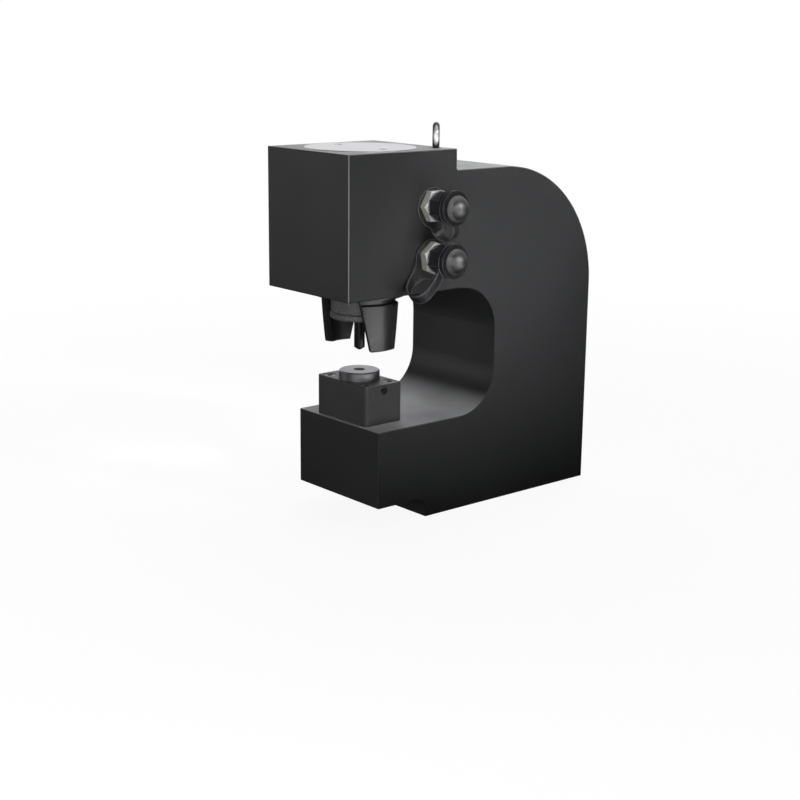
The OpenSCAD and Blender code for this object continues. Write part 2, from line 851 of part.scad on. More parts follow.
// One closed tube swept along a helix whose end coils lie flat
module helix(z0, z1, turns, coil_r, wire_r) {
    sides = 6;
    steps = 10 * turns;
    dead = 0.1;
    climb = function(t) t < dead ? 0 : t > 1 - dead ? 1 : (t - dead) / (1 - 2 * dead);
    points = [for (i = [0:steps], j = [0:sides - 1])
        let (t = i / steps, a = 360 * turns * t, b = 360 * j / sides, r = coil_r + wire_r * cos(b))
            [r * cos(a), r * sin(a), z0 + (z1 - z0) * climb(t) + wire_r * sin(b)]];
    walls = [for (i = [0:steps - 1], j = [0:sides - 1])
        let (k = (j + 1) % sides, p = i * sides, q = p + sides)
            each [[p + j, p + k, q + k], [p + j, q + k, q + j]]];
    first = [for (j = [1:sides - 2]) [0, j + 1, j]];
    last = [for (j = [1:sides - 2]) [steps * sides, steps * sides + j, steps * sides + j + 1]];
    polyhedron(concat(points), concat(walls, first, last));
}

module poppet_spring(z) {
    wire_r = spring_wire / 2;
    color([0.5, 0.5, 0.5])
    on_port(z) helix(socket_floor + wire_r + fit, poppet_back - wire_r - fit, spring_turns, spring_r, wire_r);
}

module dust_cap(z) {
    grip_r = cap_grip_d / 2;
    groove_pitch = cap_grip_len / (grip_grooves + 1);
    color([0.2, 0.2, 0.21])
    on_port(z) difference() {
        union() {
            drum(ring_in_r + 1, cap_back, cap_back + cap_lip);
            drum(cap_neck_r, cap_back, cap_flange);
            drum(cap_flange_d / 2, cap_flange, cap_grip);
            drum(grip_r, cap_grip, cap_dome);
            intersection() {
                translate([0, 0, cap_dome]) scale_dome(grip_r - 0.5, cap_dome_len);
                drum(grip_r, cap_dome, cap_end + cut);
            }
        }
        for (i = [1:grip_grooves])
            ring(grip_r + cut, grip_r - grip_groove, cap_grip + i * groove_pitch - groove_half,
                cap_grip + i * groove_pitch + groove_half);
        drum(cap_bore_r, cap_back - cut, cap_bore_end);
    }
}

// A shallow dome of the given foot radius and height, a slice of a ball
module scale_dome(r, h) {
    ball_r = (r * r + h * h) / (2 * h);
    translate([0, 0, h - ball_r]) sphere(ball_r);
}

// The part of a strap, seen from its edge, that bends about c from one angle to another
module bend(c, r, from, to) {
    half_t = tether_t / 2;
    translate(c) intersection() {
        difference() {
            circle(r + half_t);
            circle(r - half_t);
        }
        polygon([[0, 0], for (i = [0:2]) 2 * r * [cos(from + i * (to - from) / 2), sin(from + i * (to - from) / 2)]]);
    }
}

// Side view of a strap: out from the inner ring along the frame, round three bends, back to the cap
module strap_side(drop, bends) {
    half_t = tether_t / 2;
    first = [drop - bends[0], tether_mid + bends[0]];
    second = [drop - bends[1], first[1]];
    third = [second[0], second[1] + bends[1] - bends[2]];
    root = ring_in_r + (cap_flange_d / 2 - ring_in_r) / 2;
    translate([root, tether_mid - half_t]) square([first[0] - root, tether_t]);
    bend(first, bends[0], -90, 0);
    bend(second, bends[1], 0, 90);
    end_r = ring_in_r + strap_inset;
    bend(third, bends[2], 90, 90 + asin((third[0] - end_r) / bends[2]));
}

// A ring round the adapter, a ring round the cap and the flat strap between them.
// Tilt turns it about the coupling's axis.
module tether(z, tilt, drop, bends) {
    half_t = tether_t / 2;
    reach = drop + cut;
    color([0.12, 0.12, 0.12])
    on_port(z) rotate(-tilt) {
        translate([ring_hang, 0, 0])
            ring(tether_ring_d / 2, neck_r + ring_hang + seat, tether_mid - half_t, tether_mid + half_t);
        ring(cap_flange_d / 2, ring_in_r, ring_back, ring_back + ring_len);
        intersection() {
            rotate([90, 0, 0]) linear_extrude(tether_ring_d, center = true) strap_side(drop, bends);
            union() {
                translate([0, -tether_w / 2, 0]) cube([reach, tether_w, 2 * cap_end]);
                linear_extrude(ring_back) for (s = [-1, 1])
                    scale([1, s]) polygon([[0, -cut], [0, tether_ring_d / 2 - ring_shoulder], flare_root,
                        flare_mid, [flare_end, tether_w / 2], [flare_end, -cut]]);
            }
        }
    }
}

module upper_adapter() { adapter(port_upper_z, upper_adapter_turn); }
module upper_nipple() { nipple(port_upper_z, upper_nipple_turn); }
module upper_poppet() { poppet(port_upper_z); }
module upper_poppet_spring() { poppet_spring(port_upper_z); }
module upper_dust_cap() { dust_cap(port_upper_z); }
module upper_tether() { tether(port_upper_z, -upper_tilt, upper_drop, upper_bends); }
module lower_adapter() { adapter(port_lower_z, lower_adapter_turn); }
module lower_nipple() { nipple(port_lower_z, lower_nipple_turn); }
module lower_poppet() { poppet(port_lower_z); }
module lower_poppet_spring() { poppet_spring(port_lower_z); }
module lower_dust_cap() { dust_cap(port_lower_z); }
module lower_tether() { tether(port_lower_z, lower_tilt, lower_drop, lower_bends); }

frame();
cylinder_cover();
cover_o_ring();
rod_gland();
gland_o_ring();
rod_seal();
rod_wiper();
piston_rod();
piston_seal();
piston_guide_ring();
punch_nut();
punch();
stripper();
stripper_screws();
die_holder();
die_holder_screws();
die();
die_set_screw();
lifting_eye();
upper_adapter();
upper_nipple();
upper_poppet();
upper_poppet_spring();
upper_dust_cap();
upper_tether();
lower_adapter();
lower_nipple();
lower_poppet();
lower_poppet_spring();
lower_dust_cap();
lower_tether();
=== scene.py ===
"""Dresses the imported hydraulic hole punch: finishes, moulded and cast pieces, a plain stage and a camera."""

import math
from collections import namedtuple

import bmesh
import bpy
from mathutils import Matrix, Vector, noise


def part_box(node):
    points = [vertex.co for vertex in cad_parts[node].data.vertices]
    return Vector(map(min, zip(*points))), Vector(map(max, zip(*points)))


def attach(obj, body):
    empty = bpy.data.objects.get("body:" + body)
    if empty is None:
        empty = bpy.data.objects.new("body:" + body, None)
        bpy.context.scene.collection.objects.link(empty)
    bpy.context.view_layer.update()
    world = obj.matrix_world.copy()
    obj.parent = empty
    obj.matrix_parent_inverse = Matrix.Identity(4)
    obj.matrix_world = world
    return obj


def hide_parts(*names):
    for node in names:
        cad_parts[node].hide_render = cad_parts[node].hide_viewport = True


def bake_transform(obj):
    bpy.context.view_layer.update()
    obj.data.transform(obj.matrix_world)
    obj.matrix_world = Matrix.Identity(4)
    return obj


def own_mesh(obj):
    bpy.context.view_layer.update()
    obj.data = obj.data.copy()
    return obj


bl_info = {
    "name": "Hydraulic hole punch",
    "version": (1, 0, 0),
    "blender": (4, 5, 0),
    "location": "View3D > Sidebar > Hole punch",
    "description": "Builds the looks of a hydraulic hole punch around its packed frame",
    "category": "Object",
}

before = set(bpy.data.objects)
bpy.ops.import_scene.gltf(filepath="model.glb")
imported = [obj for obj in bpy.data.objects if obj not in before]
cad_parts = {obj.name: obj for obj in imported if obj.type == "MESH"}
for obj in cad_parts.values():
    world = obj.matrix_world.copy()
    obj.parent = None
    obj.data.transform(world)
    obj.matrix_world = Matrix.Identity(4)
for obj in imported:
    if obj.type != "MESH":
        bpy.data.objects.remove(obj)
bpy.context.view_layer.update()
MM = 0.001
SIDES = ("upper", "lower")
SIDE_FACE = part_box("frame")[1].x
PUNCH_AXIS = (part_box("punch")[0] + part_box("punch")[1]) / 2
# The stripper is dull inside this radius, in millimetres
STRIPPER_MOUTH_R = 36.0

# Round a coupling, in millimetres: distances out from the frame's side face, and radii from its axis
INNER_RING = (0.15, 1.75)
OUTER_RING = (27.1, 30.5)
INNER_RADII = (12.5, 20.0)
OUTER_RADII = (15.2, 17.5)
STRAP_ROOT = (15.2, 17.5)
CAP_BACK = 26.0
CAP_FLANGE = 32.8
CAP_GRIP = 35.3
CAP_DOME = 41.0
CAP_END = 47.5
CAP_BORE_R = 9.9
CAP_BORE_END = 40.2
CAP_SLEEVE_R = 15.0
CAP_LIP_R = 16.2
SPRING_ENDS = (3.1, 28.4)

# The nut's hollow, in millimetres: the hole round the punch, the seat of its head and the rod's thread
NUT_HOLE_R = 5.8
NUT_SEAT_R = 11.3
NUT_THREAD_R = 22.05
NUT_FLOOR = 4.2
NUT_THREAD_DEPTH = 18.6
# The mesh of the nut's rough skin: its step, and the radii outside which it is fine and roughened
NUT_STEP = 0.9
NUT_FINE_R = 22.0
NUT_ROUGH_R = 23.0

# Seen from the aim, azimuths run from the front to the right. Powers are in watts, lengths in metres
Softbox = namedtuple("Softbox", "name azimuth elevation distance aim width height power grid")
SOFTBOXES = (
    Softbox("side_softbox", 110.0, 26.0, 1.5, (0.065, 0.03, 0.28), 0.3, 0.3, 0.33, 14.0),
    Softbox("cap_softbox", 80.0, 26.0, 1.2, (0.11, -0.07, 0.3), 0.22, 0.22, 0.11, 14.0),
    Softbox("front_softbox", 38.0, 6.0, 1.2, (0, -0.12, 0.24), 1.1, 0.5, 5.5, 180.0),
    Softbox("left_softbox", -42.0, 4.0, 1.9, (0, -0.2, 0.2), 0.9, 0.9, 6.9, 180.0),
    Softbox("top_softbox", 150.0, 80.0, 1.8, (0, 0.02, 0.36), 1.0, 1.0, 9.0, 180.0),
)

# What the machine mirrors, in shares of white: the room, the wall behind it, the way there, and the floor
ROOM_LEVEL = 0.04
WALL_LEVEL = 1.5
WALL_WAY = (-0.738, 0.632, 0.236)
FLOOR_MIRRORED = 0.04
# Bright patches of floor: azimuth, half its angle, nearest and farthest distance, level
FLOOR_PATCHES = ((38.0, 27.0, 0.25, 1.8, 0.4), (88.0, 28.0, 0.45, 1.4, 4.4))
# The floor's own light, and the radii of its rings in metres
FLOOR_GLOW = 0.35
FLOOR_RINGS = (0.0, 0.3, 0.8, 2.0, 6.0, 20.0)

# The camera: millimetres, degrees and metres
CAMERA_LENS = 67.913
CAMERA_SENSOR = 36.0
CAMERA_AZIMUTH = 49.329
CAMERA_ELEVATION = 14.023
CAMERA_ROLL = 0.634
CAMERA_SPOT = (1.176985, -1.109637, 0.496162)


# Properties that a user would change


def length_property(name, description, default, low, high):
    return bpy.props.FloatProperty(
        name=name, description=description + ", in millimetres", default=default, min=low, max=high)


def bends_property(name, description, default):
    return bpy.props.FloatVectorProperty(
        name=name, description=description + ", from the frame outward, in millimetres", size=3,
        default=default)


def turn_property(name, description, degrees):
    return bpy.props.FloatProperty(
        name=name, description=description, subtype="ANGLE", default=math.radians(degrees))


def colour_property(name, description, red, green, blue):
    return bpy.props.FloatVectorProperty(
        name=name, description=description, subtype="COLOR", size=4, default=(red, green, blue, 1))


class CapSizes(bpy.types.PropertyGroup):
    """Sizes of the moulded dust caps"""

    flange_r: length_property("Flange radius", "Radius of the cap's flange", 17.5, 16, 18)
    grip_r: length_property("Grip radius", "Radius of the ribbed grip at the flange", 13.1, 12, 14)
    grooves: bpy.props.IntProperty(
        name="Grooves", description="Grooves round the grip", default=3, min=1, max=4)
    groove_depth: length_property("Groove depth", "Depth of a groove", 0.5, 0.1, 0.8)
    dome_r: length_property("Dome radius", "Radius at the foot of the dome", 11.3, 10.5, 13)


class TetherSizes(bpy.types.PropertyGroup):
    """Sizes of the flexible straps that hold the dust caps"""

    thickness: length_property("Thickness", "Thickness of the strap", 1.6, 1, 2)
    width: length_property("Width", "Width of the strap", 10.4, 9, 11)
    ring_hang: length_property("Ring hang", "How far the inner ring hangs off its axis", 2.2, 0, 2.5)
    upper_drop: length_property("Upper drop", "From the coupling's axis to the upper bend", 35.2, 34, 38)
    lower_drop: length_property("Lower drop", "From the coupling's axis to the lower bend", 54.4, 50, 58)
    upper_bends: bends_property("Upper bends", "Radii of the upper strap's bends", (10.2, 18.8, 18.8))
    lower_bends: bends_property("Lower bends", "Radii of the lower strap's bends", (24.9, 9.75, 60.0))
    upper_tilt: turn_property("Upper tilt", "Turn of the upper strap towards the back", 16)
    lower_tilt: turn_property("Lower tilt", "Turn of the lower strap towards the back", -51)


class CastingSizes(bpy.types.PropertyGroup):
    """Roughness of the punch nut's skin"""

    grit: length_property("Grit height", "Height of the skin's grit", 0.16, 0, 0.3)
    grit_size: length_property("Grit size", "Size of a grain of the skin", 1.9, 0.5, 4)


class FinishColours(bpy.types.PropertyGroup):
    """Colours of the punch's finishes"""

    paint: colour_property("Frame paint", "Satin black of the frame", 0.0125, 0.0128, 0.0135)
    # Colour of the sheen painted on faces that look up
    haze: colour_property("Haze", "Light film on faces that look up", 0.40, 0.40, 0.41)
    bare_steel: colour_property("Bare steel", "Steel that shows through worn paint", 0.62, 0.61, 0.60)
    oxide: colour_property(
        "Black oxide", "Blackened steel of the stripper, the punch and the screws", 0.022, 0.022, 0.023)
    scale: colour_property("Rough scale", "Cast skin of the punch nut", 0.075, 0.076, 0.078)
    turned: colour_property("Turned steel", "Turned steel of the cover", 0.42, 0.42, 0.43)
    ground: colour_property("Ground steel", "Ground steel of the piston rod and the valves", 0.56, 0.56, 0.58)
    hardened: colour_property("Hardened steel", "Hardened steel of the die", 0.2, 0.2, 0.21)
    wire: colour_property("Spring wire", "Drawn wire of the valves' springs", 0.45, 0.45, 0.46)
    # The eye's two colours make a painted reflection: light in the middle, dark at the sides
    eye_steel: colour_property("Eye steel", "Polished steel of the lifting eye", 0.7, 0.7, 0.71)
    eye_rim: colour_property("Eye rim", "What the sides of the lifting eye mirror", 0.01, 0.01, 0.011)
    bronze: colour_property("Bronze", "Bronze of the rod's bush", 0.55, 0.36, 0.16)
    rubber: colour_property("Rubber", "Black rubber of the O-rings and the wiper", 0.012, 0.012, 0.012)
    seal: colour_property(
        "Seal compound", "Blue compound of the rod's and the piston's seals", 0.02, 0.06, 0.22)
    guide: colour_property("Guide compound", "Brown compound of the piston's guide ring", 0.16, 0.09, 0.045)
    zinc: colour_property("Zinc plate", "Plating of the adapters", 0.52, 0.51, 0.47)
    coupling: colour_property("Coupling black", "Blue-black of the coupling bodies", 0.016, 0.016, 0.021)
    cap: colour_property("Cap plastic", "Dark grey plastic of the dust caps", 0.030, 0.030, 0.032)
    strap: colour_property("Strap plastic", "Black flexible plastic of the tethers", 0.009, 0.009, 0.010)
    floor: colour_property("Floor", "Pale floor of the stage", 0.86, 0.86, 0.86)


def caps():
    return bpy.context.scene.punch_caps


def tethers():
    return bpy.context.scene.punch_tethers


def casting():
    return bpy.context.scene.punch_casting


def colours():
    return bpy.context.scene.punch_colours


# Node helpers


def put(tree, kind, values=None, **settings):
    """Adds a node, sets its options, then fills or links its inputs."""
    node = tree.nodes.new(kind)
    for key, value in settings.items():
        setattr(node, key, value)
    for key, value in (values or {}).items():
        socket = node.inputs[key]
        if isinstance(value, bpy.types.NodeSocket):
            tree.links.new(value, socket)
        else:
            socket.default_value = value
    return node


def maths(tree, operation, first, second=0.0, third=0.0):
    values = {0: first, 1: second}
    if operation == "MULTIPLY_ADD":
        values[2] = third
    return put(tree, "ShaderNodeMath", values, operation=operation).outputs[0]


def vector_maths(tree, operation, first, second):
    return put(tree, "ShaderNodeVectorMath", {0: first, 1: second}, operation=operation).outputs[0]


def dot(tree, first, second):
    return put(tree, "ShaderNodeVectorMath", {0: first, 1: second}, operation="DOT_PRODUCT").outputs["Value"]


def vector_length(tree, vector):
    return put(tree, "ShaderNodeVectorMath", {0: vector}, operation="LENGTH").outputs["Value"]


def axis_value(tree, vector, axis):
    """One of a vector's X, Y and Z."""
    return put(tree, "ShaderNodeSeparateXYZ", {0: vector}).outputs[axis]


def here(tree):
    """The shaded point, in the object's own space."""
    return put(tree, "ShaderNodeTexCoord").outputs["Object"]


def spread(tree, value, low, high, to_low=0.0, to_high=1.0, smooth=False):
    """Maps a value from one range to another and clamps it."""
    return put(
        tree, "ShaderNodeMapRange",
        {"Value": value, "From Min": low, "From Max": high, "To Min": to_low, "To Max": to_high},
        interpolation_type="SMOOTHSTEP" if smooth else "LINEAR").outputs[0]


def tint(tree, factor, first, second):
    """Mixes two colours."""
    return put(tree, "ShaderNodeMix", {0: factor, 6: first, 7: second}, data_type="RGBA").outputs[2]


def node_group(name, inputs, outputs):
    """A new shader group with its sockets, its inputs' outputs and its output's inputs."""
    tree = bpy.data.node_groups.new(name, "ShaderNodeTree")
    for label, kind, default in inputs:
        socket = tree.interface.new_socket(label, in_out="INPUT", socket_type="NodeSocket" + kind)
        socket.default_value = default
    for label, kind in outputs:
        tree.interface.new_socket(label, in_out="OUTPUT", socket_type="NodeSocket" + kind)
    return tree, tree.nodes.new("NodeGroupInput").outputs, tree.nodes.new("NodeGroupOutput").inputs


def use(tree, group, **values):
    """Places a node group with the given inputs, spaces in their names written as underscores."""
    node = tree.nodes.new("ShaderNodeGroup")
    node.node_tree = bpy.data.node_groups[group]
    for key, value in values.items():
        socket = node.inputs[key.replace("_", " ")]
        if isinstance(value, bpy.types.NodeSocket):
            tree.links.new(value, socket)
        else:
            socket.default_value = value
    return node.outputs


# Shared surface effects


def make_fine_grain():
    """Speckle at a chosen scale, the same on every face of the piece."""
    tree, given, made = node_group(
        "fine_grain", [("Scale", "Float", 400.0), ("Detail", "Float", 3.0), ("Contrast", "Float", 1.0)],
        [("Value", "Float")])
    grain = put(tree, "ShaderNodeTexNoise",
                {"Vector": here(tree), "Scale": given["Scale"], "Detail": given["Detail"]})
    centred = maths(tree, "SUBTRACT", grain.outputs[0], 0.5)
    stretched = maths(tree, "MULTIPLY", centred, given["Contrast"])
    tree.links.new(spread(tree, maths(tree, "ADD", stretched, 0.5), 0.0, 1.0), made["Value"])


def make_wear_and_glint_edges():
    """A mask along convex edges, broken up by noise, and the normal that rounds the edges. It marks edge wear
    on metal and painted edge highlights on the plastics.
    """
    tree, given, made = node_group(
        "worn_edges", [("Radius", "Float", 0.0006), ("Amount", "Float", 0.5), ("Breakup", "Float", 120.0)],
        [("Mask", "Float"), ("Normal", "Vector")])
    softened = put(tree, "ShaderNodeBevel", {"Radius": given["Radius"]}, samples=6).outputs[0]
    facing = put(tree, "ShaderNodeNewGeometry").outputs["True Normal"]
    edge = spread(tree, dot(tree, softened, facing), 0.995, 0.80)
    chips = put(tree, "ShaderNodeTexNoise",
                {"Vector": here(tree), "Scale": given["Breakup"], "Detail": 4.0}).outputs[0]
    kept = spread(tree, maths(tree, "ADD", chips, given["Amount"]), 0.85, 1.15)
    tree.links.new(maths(tree, "MULTIPLY", edge, kept), made["Mask"])
    tree.links.new(softened, made["Normal"])


def make_upward_sheen_mask():
    """A mask for faces that look up, cloudy: where a sheen of light is painted into their colour."""
    tree, given, made = node_group(
        "settled_haze", [("Amount", "Float", 0.5), ("Scale", "Float", 25.0)], [("Mask", "Float")])
    facing = put(tree, "ShaderNodeNewGeometry").outputs["Normal"]
    up = axis_value(tree, facing, "Z")
    cloud = put(tree, "ShaderNodeTexNoise",
                {"Vector": here(tree), "Scale": given["Scale"], "Detail": 6.0}).outputs[0]
    level = spread(tree, up, 0.55, 0.98, smooth=True)
    thick = maths(tree, "MULTIPLY", level, spread(tree, cloud, 0.2, 0.8, 0.55, 1.0))
    tree.links.new(maths(tree, "MULTIPLY", thick, given["Amount"]), made["Mask"])


def make_turning_lines():
    """Fine rings that a lathe leaves round an axis."""
    tree, given, made = node_group(
        "turning_lines",
        [("Centre", "Vector", (0, 0, 0)), ("Axis", "Vector", (0, 0, 1)), ("Scale", "Float", 1500.0)],
        [("Value", "Float")])
    arm = vector_maths(tree, "SUBTRACT", here(tree), given["Centre"])
    across = vector_maths(tree, "CROSS_PRODUCT", arm, given["Axis"])
    along = dot(tree, arm, given["Axis"])
    reach = maths(tree, "MULTIPLY", maths(tree, "ADD", vector_length(tree, across), along), given["Scale"])
    lines = put(tree, "ShaderNodeTexNoise", {"W": reach, "Scale": 1.0, "Detail": 2.0}, noise_dimensions="1D")
    tree.links.new(lines.outputs[0], made["Value"])


# Materials


def new_material(name, roughness, metallic=0.0, specular=0.5):
    """A material with its tree and its Principled shader."""
    material = bpy.data.materials.new(name)
    material.use_nodes = True
    tree = material.node_tree
    tree.nodes.clear()
    shader = put(tree, "ShaderNodeBsdfPrincipled",
                 {"Roughness": roughness, "Metallic": metallic, "Specular IOR Level": specular})
    put(tree, "ShaderNodeOutputMaterial", {"Surface": shader.outputs[0]})
    return material, tree, shader


def colour(tree, shader, value):
    tree.links.new(value, shader.inputs["Base Color"])


def drive(tree, shader, socket, value):
    tree.links.new(value, shader.inputs[socket])


def bump(tree, shader, height, distance, strength=1.0, normal=None):
    """Raises the surface by a height, over rounded edges where a normal is given."""
    values = {"Height": height, "Distance": distance, "Strength": strength}
    if normal is not None:
        values["Normal"] = normal
    tree.links.new(put(tree, "ShaderNodeBump", values).outputs[0], shader.inputs["Normal"])


def shaded(value, share):
    """A colour made darker, or lighter where the share is over 1."""
    return (value[0] * share, value[1] * share, value[2] * share, 1)


def frame_paint():
    """Satin black paint with a fine peel, a painted sheen on faces that look up, and bare steel on the head's
    front arrises set there as a painted highlight line.
    """
    material, tree, shader = new_material("frame_satin_black", 0.5, specular=0.35)
    paint = tuple(colours().paint)
    mottle = use(tree, "fine_grain", Scale=14.0, Detail=5.0, Contrast=1.6)["Value"]
    peel = use(tree, "fine_grain", Scale=1100.0, Detail=2.0, Contrast=1.0)["Value"]
    # Painted sheen: faces that look up get a lighter colour and more roughness, in place of the light they
    # mirror
    haze = use(tree, "settled_haze", Amount=0.95, Scale=18.0)["Mask"]
    edge_wear_and_glint = use(tree, "worn_edges", Radius=0.0009, Amount=0.12, Breakup=60.0)
    # Painted highlight: bare metallic steel on the head's front vertical arrises, broken up by noise, so that
    # they show a bright line
    facing = put(tree, "ShaderNodeNewGeometry").outputs["True Normal"]
    slant = 0.7071
    right = dot(tree, facing, (slant, -slant, 0.0))
    left = dot(tree, facing, (-slant, -slant, 0.0))
    arris = spread(tree, maths(tree, "MAXIMUM", right, left), 0.93, 0.97)
    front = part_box("frame")[0].y
    head_only = spread(tree, axis_value(tree, here(tree), "Y"), front + 0.012, front + 0.006)
    rub = use(tree, "fine_grain", Scale=260.0, Detail=4.0, Contrast=2.0)["Value"]
    rubbed = spread(tree, rub, 0.0, 0.35, 0.8, 1.0)
    bright = maths(tree, "MULTIPLY", maths(tree, "MULTIPLY", arris, head_only), rubbed)
    # One bare-steel mask carries both the real edge wear and the painted highlight on the arrises
    metal = maths(tree, "MAXIMUM", bright, edge_wear_and_glint["Mask"])
    base = tint(tree, mottle, shaded(paint, 0.85), shaded(paint, 1.2))
    base = tint(tree, haze, base, tuple(colours().haze))
    colour(tree, shader, tint(tree, metal, base, shaded(tuple(colours().bare_steel), 0.3)))
    satin = spread(tree, mottle, 0.0, 1.0, 0.46, 0.54)
    drive(tree, shader, "Roughness", maths(tree, "MULTIPLY_ADD", haze, 0.12, satin))
    drive(tree, shader, "Metallic", maths(tree, "MULTIPLY", metal, 0.85))
    bump(tree, shader, peel, 0.00006, 0.35, edge_wear_and_glint["Normal"])
    return material


def blackened(name, roughness, share, wear=0.16, inside=0.0, shine=0.5):
    """Blackened steel with a fine grain and edges that have begun to show bright, dull inside a radius."""
    material, tree, shader = new_material(name, roughness, specular=shine)
    oxide = shaded(tuple(colours().oxide), share)
    cloud = use(tree, "fine_grain", Scale=70.0, Detail=5.0, Contrast=1.8)["Value"]
    grit = use(tree, "fine_grain", Scale=1800.0, Detail=3.0, Contrast=1.2)["Value"]
    edge_wear_and_glint = use(tree, "worn_edges", Radius=0.0005, Amount=wear, Breakup=220.0)
    base = tint(tree, cloud, shaded(oxide, 0.8), shaded(oxide, 1.3))
    colour(tree, shader, tint(tree, edge_wear_and_glint["Mask"], base, shaded(tuple(colours().bare_steel), 0.5)))
    drive(tree, shader, "Roughness", spread(tree, cloud, 0.0, 1.0, roughness - 0.05, roughness + 0.07))
    drive(tree, shader, "Metallic", maths(tree, "MULTIPLY", edge_wear_and_glint["Mask"], 0.7))
    if inside:
        arm = vector_maths(tree, "SUBTRACT", here(tree), (PUNCH_AXIS.x, PUNCH_AXIS.y, 0))
        radius = vector_length(tree, vector_maths(tree, "MULTIPLY", arm, (1, 1, 0)))
        drive(tree, shader, "Specular IOR Level", spread(tree, radius, inside, inside + MM, 0.08, shine))
    bump(tree, shader, grit, 0.00004, 0.4, edge_wear_and_glint["Normal"])
    return material


def machined(name, shade, roughness, centre, axis, pitch, haze=0.0):
    """Bare turned or ground metal with rings round its axis, and a sheen painted on faces that look up where
    haze is given.
    """
    material, tree, shader = new_material(name, roughness, 1.0)
    lines = use(tree, "turning_lines", Centre=tuple(centre), Axis=axis, Scale=pitch)["Value"]
    cloud = use(tree, "fine_grain", Scale=45.0, Detail=4.0, Contrast=1.5)["Value"]
    edge_wear_and_glint = use(tree, "worn_edges", Radius=0.0004, Amount=0.3, Breakup=300.0)
    base = tint(tree, lines, shaded(shade, 0.82), shaded(shade, 1.12))
    base = tint(tree, maths(tree, "MULTIPLY", cloud, 0.35), base, shaded(shade, 0.7))
    if haze:
        # Painted sheen on faces that look up
        sheen = use(tree, "settled_haze", Amount=haze, Scale=30.0)["Mask"]
        base = tint(tree, sheen, base, shaded(tuple(colours().haze), 1.2))
    colour(tree, shader, base)
    drive(tree, shader, "Roughness", spread(tree, lines, 0.2, 0.8, roughness - 0.06, roughness + 0.08))
    bump(tree, shader, lines, 0.00003, 0.5, edge_wear_and_glint["Normal"])
    return material


def cast_scale():
    """Dark skin of a casting, with grey rubbed peaks."""
    material, tree, shader = new_material("nut_cast_scale", 0.6)
    skin = tuple(colours().scale)
    coarse = use(tree, "fine_grain", Scale=520.0, Detail=6.0, Contrast=2.2)["Value"]
    fine = use(tree, "fine_grain", Scale=1900.0, Detail=3.0, Contrast=1.5)["Value"]
    patch = use(tree, "fine_grain", Scale=90.0, Detail=4.0, Contrast=2.0)["Value"]
    base = tint(tree, coarse, shaded(skin, 0.55), shaded(skin, 1.7))
    peaks = maths(tree, "MULTIPLY", spread(tree, fine, 0.62, 0.9), spread(tree, patch, 0.3, 0.9))
    colour(tree, shader, tint(tree, peaks, base, shaded(tuple(colours().bare_steel), 0.55)))
    drive(tree, shader, "Roughness", spread(tree, coarse, 0.0, 1.0, 0.42, 0.68))
    drive(tree, shader, "Metallic", spread(tree, peaks, 0.0, 1.0, 0.25, 0.8))
    bump(tree, shader, maths(tree, "ADD", coarse, fine), 0.00016, 0.8)
    return material


def zinc_plate():
    """Dull zinc plating, slightly warm, with brighter turned corners."""
    material, tree, shader = new_material("adapter_zinc_plate", 0.5, 0.35)
    zinc = tuple(colours().zinc)
    cloud = use(tree, "fine_grain", Scale=380.0, Detail=5.0, Contrast=1.7)["Value"]
    grit = use(tree, "fine_grain", Scale=2400.0, Detail=2.0, Contrast=1.5)["Value"]
    edge_wear_and_glint = use(tree, "worn_edges", Radius=0.0004, Amount=0.45, Breakup=500.0)
    base = tint(tree, cloud, shaded(zinc, 0.72), shaded(zinc, 1.1))
    colour(tree, shader, tint(tree, edge_wear_and_glint["Mask"], base, shaded(zinc, 1.6)))
    drive(tree, shader, "Roughness", spread(tree, cloud, 0.0, 1.0, 0.42, 0.58))
    bump(tree, shader, grit, 0.00004, 0.5, edge_wear_and_glint["Normal"])
    return material


def moulded(name, shade, roughness, specular=0.5, radius=0.0003, glint=0.5, lift=4.0, edge=0.5):
    """Moulded plastic with a fine matt skin, with highlights painted along its edges as far as lift and edge
    say.
    """
    material, tree, shader = new_material(name, roughness, specular=specular)
    skin = use(tree, "fine_grain", Scale=2600.0, Detail=2.0, Contrast=1.2)["Value"]
    cloud = use(tree, "fine_grain", Scale=150.0, Detail=4.0, Contrast=1.6)["Value"]
    edge_wear_and_glint = use(tree, "worn_edges", Radius=radius, Amount=glint, Breakup=180.0)
    base = tint(tree, cloud, shaded(shade, 0.85), shaded(shade, 1.2))
    # Painted highlight: the colour that edges are painted with
    lifted = tuple(min(1.0, channel * lift + 0.02) for channel in shade[:3]) + (1,)
    colour(tree, shader, tint(tree, maths(tree, "MULTIPLY", edge_wear_and_glint["Mask"], edge), base, lifted))
    drive(tree, shader, "Roughness", spread(tree, cloud, 0.0, 1.0, roughness - 0.05, roughness + 0.06))
    bump(tree, shader, skin, 0.00003, 0.5, edge_wear_and_glint["Normal"])
    return material


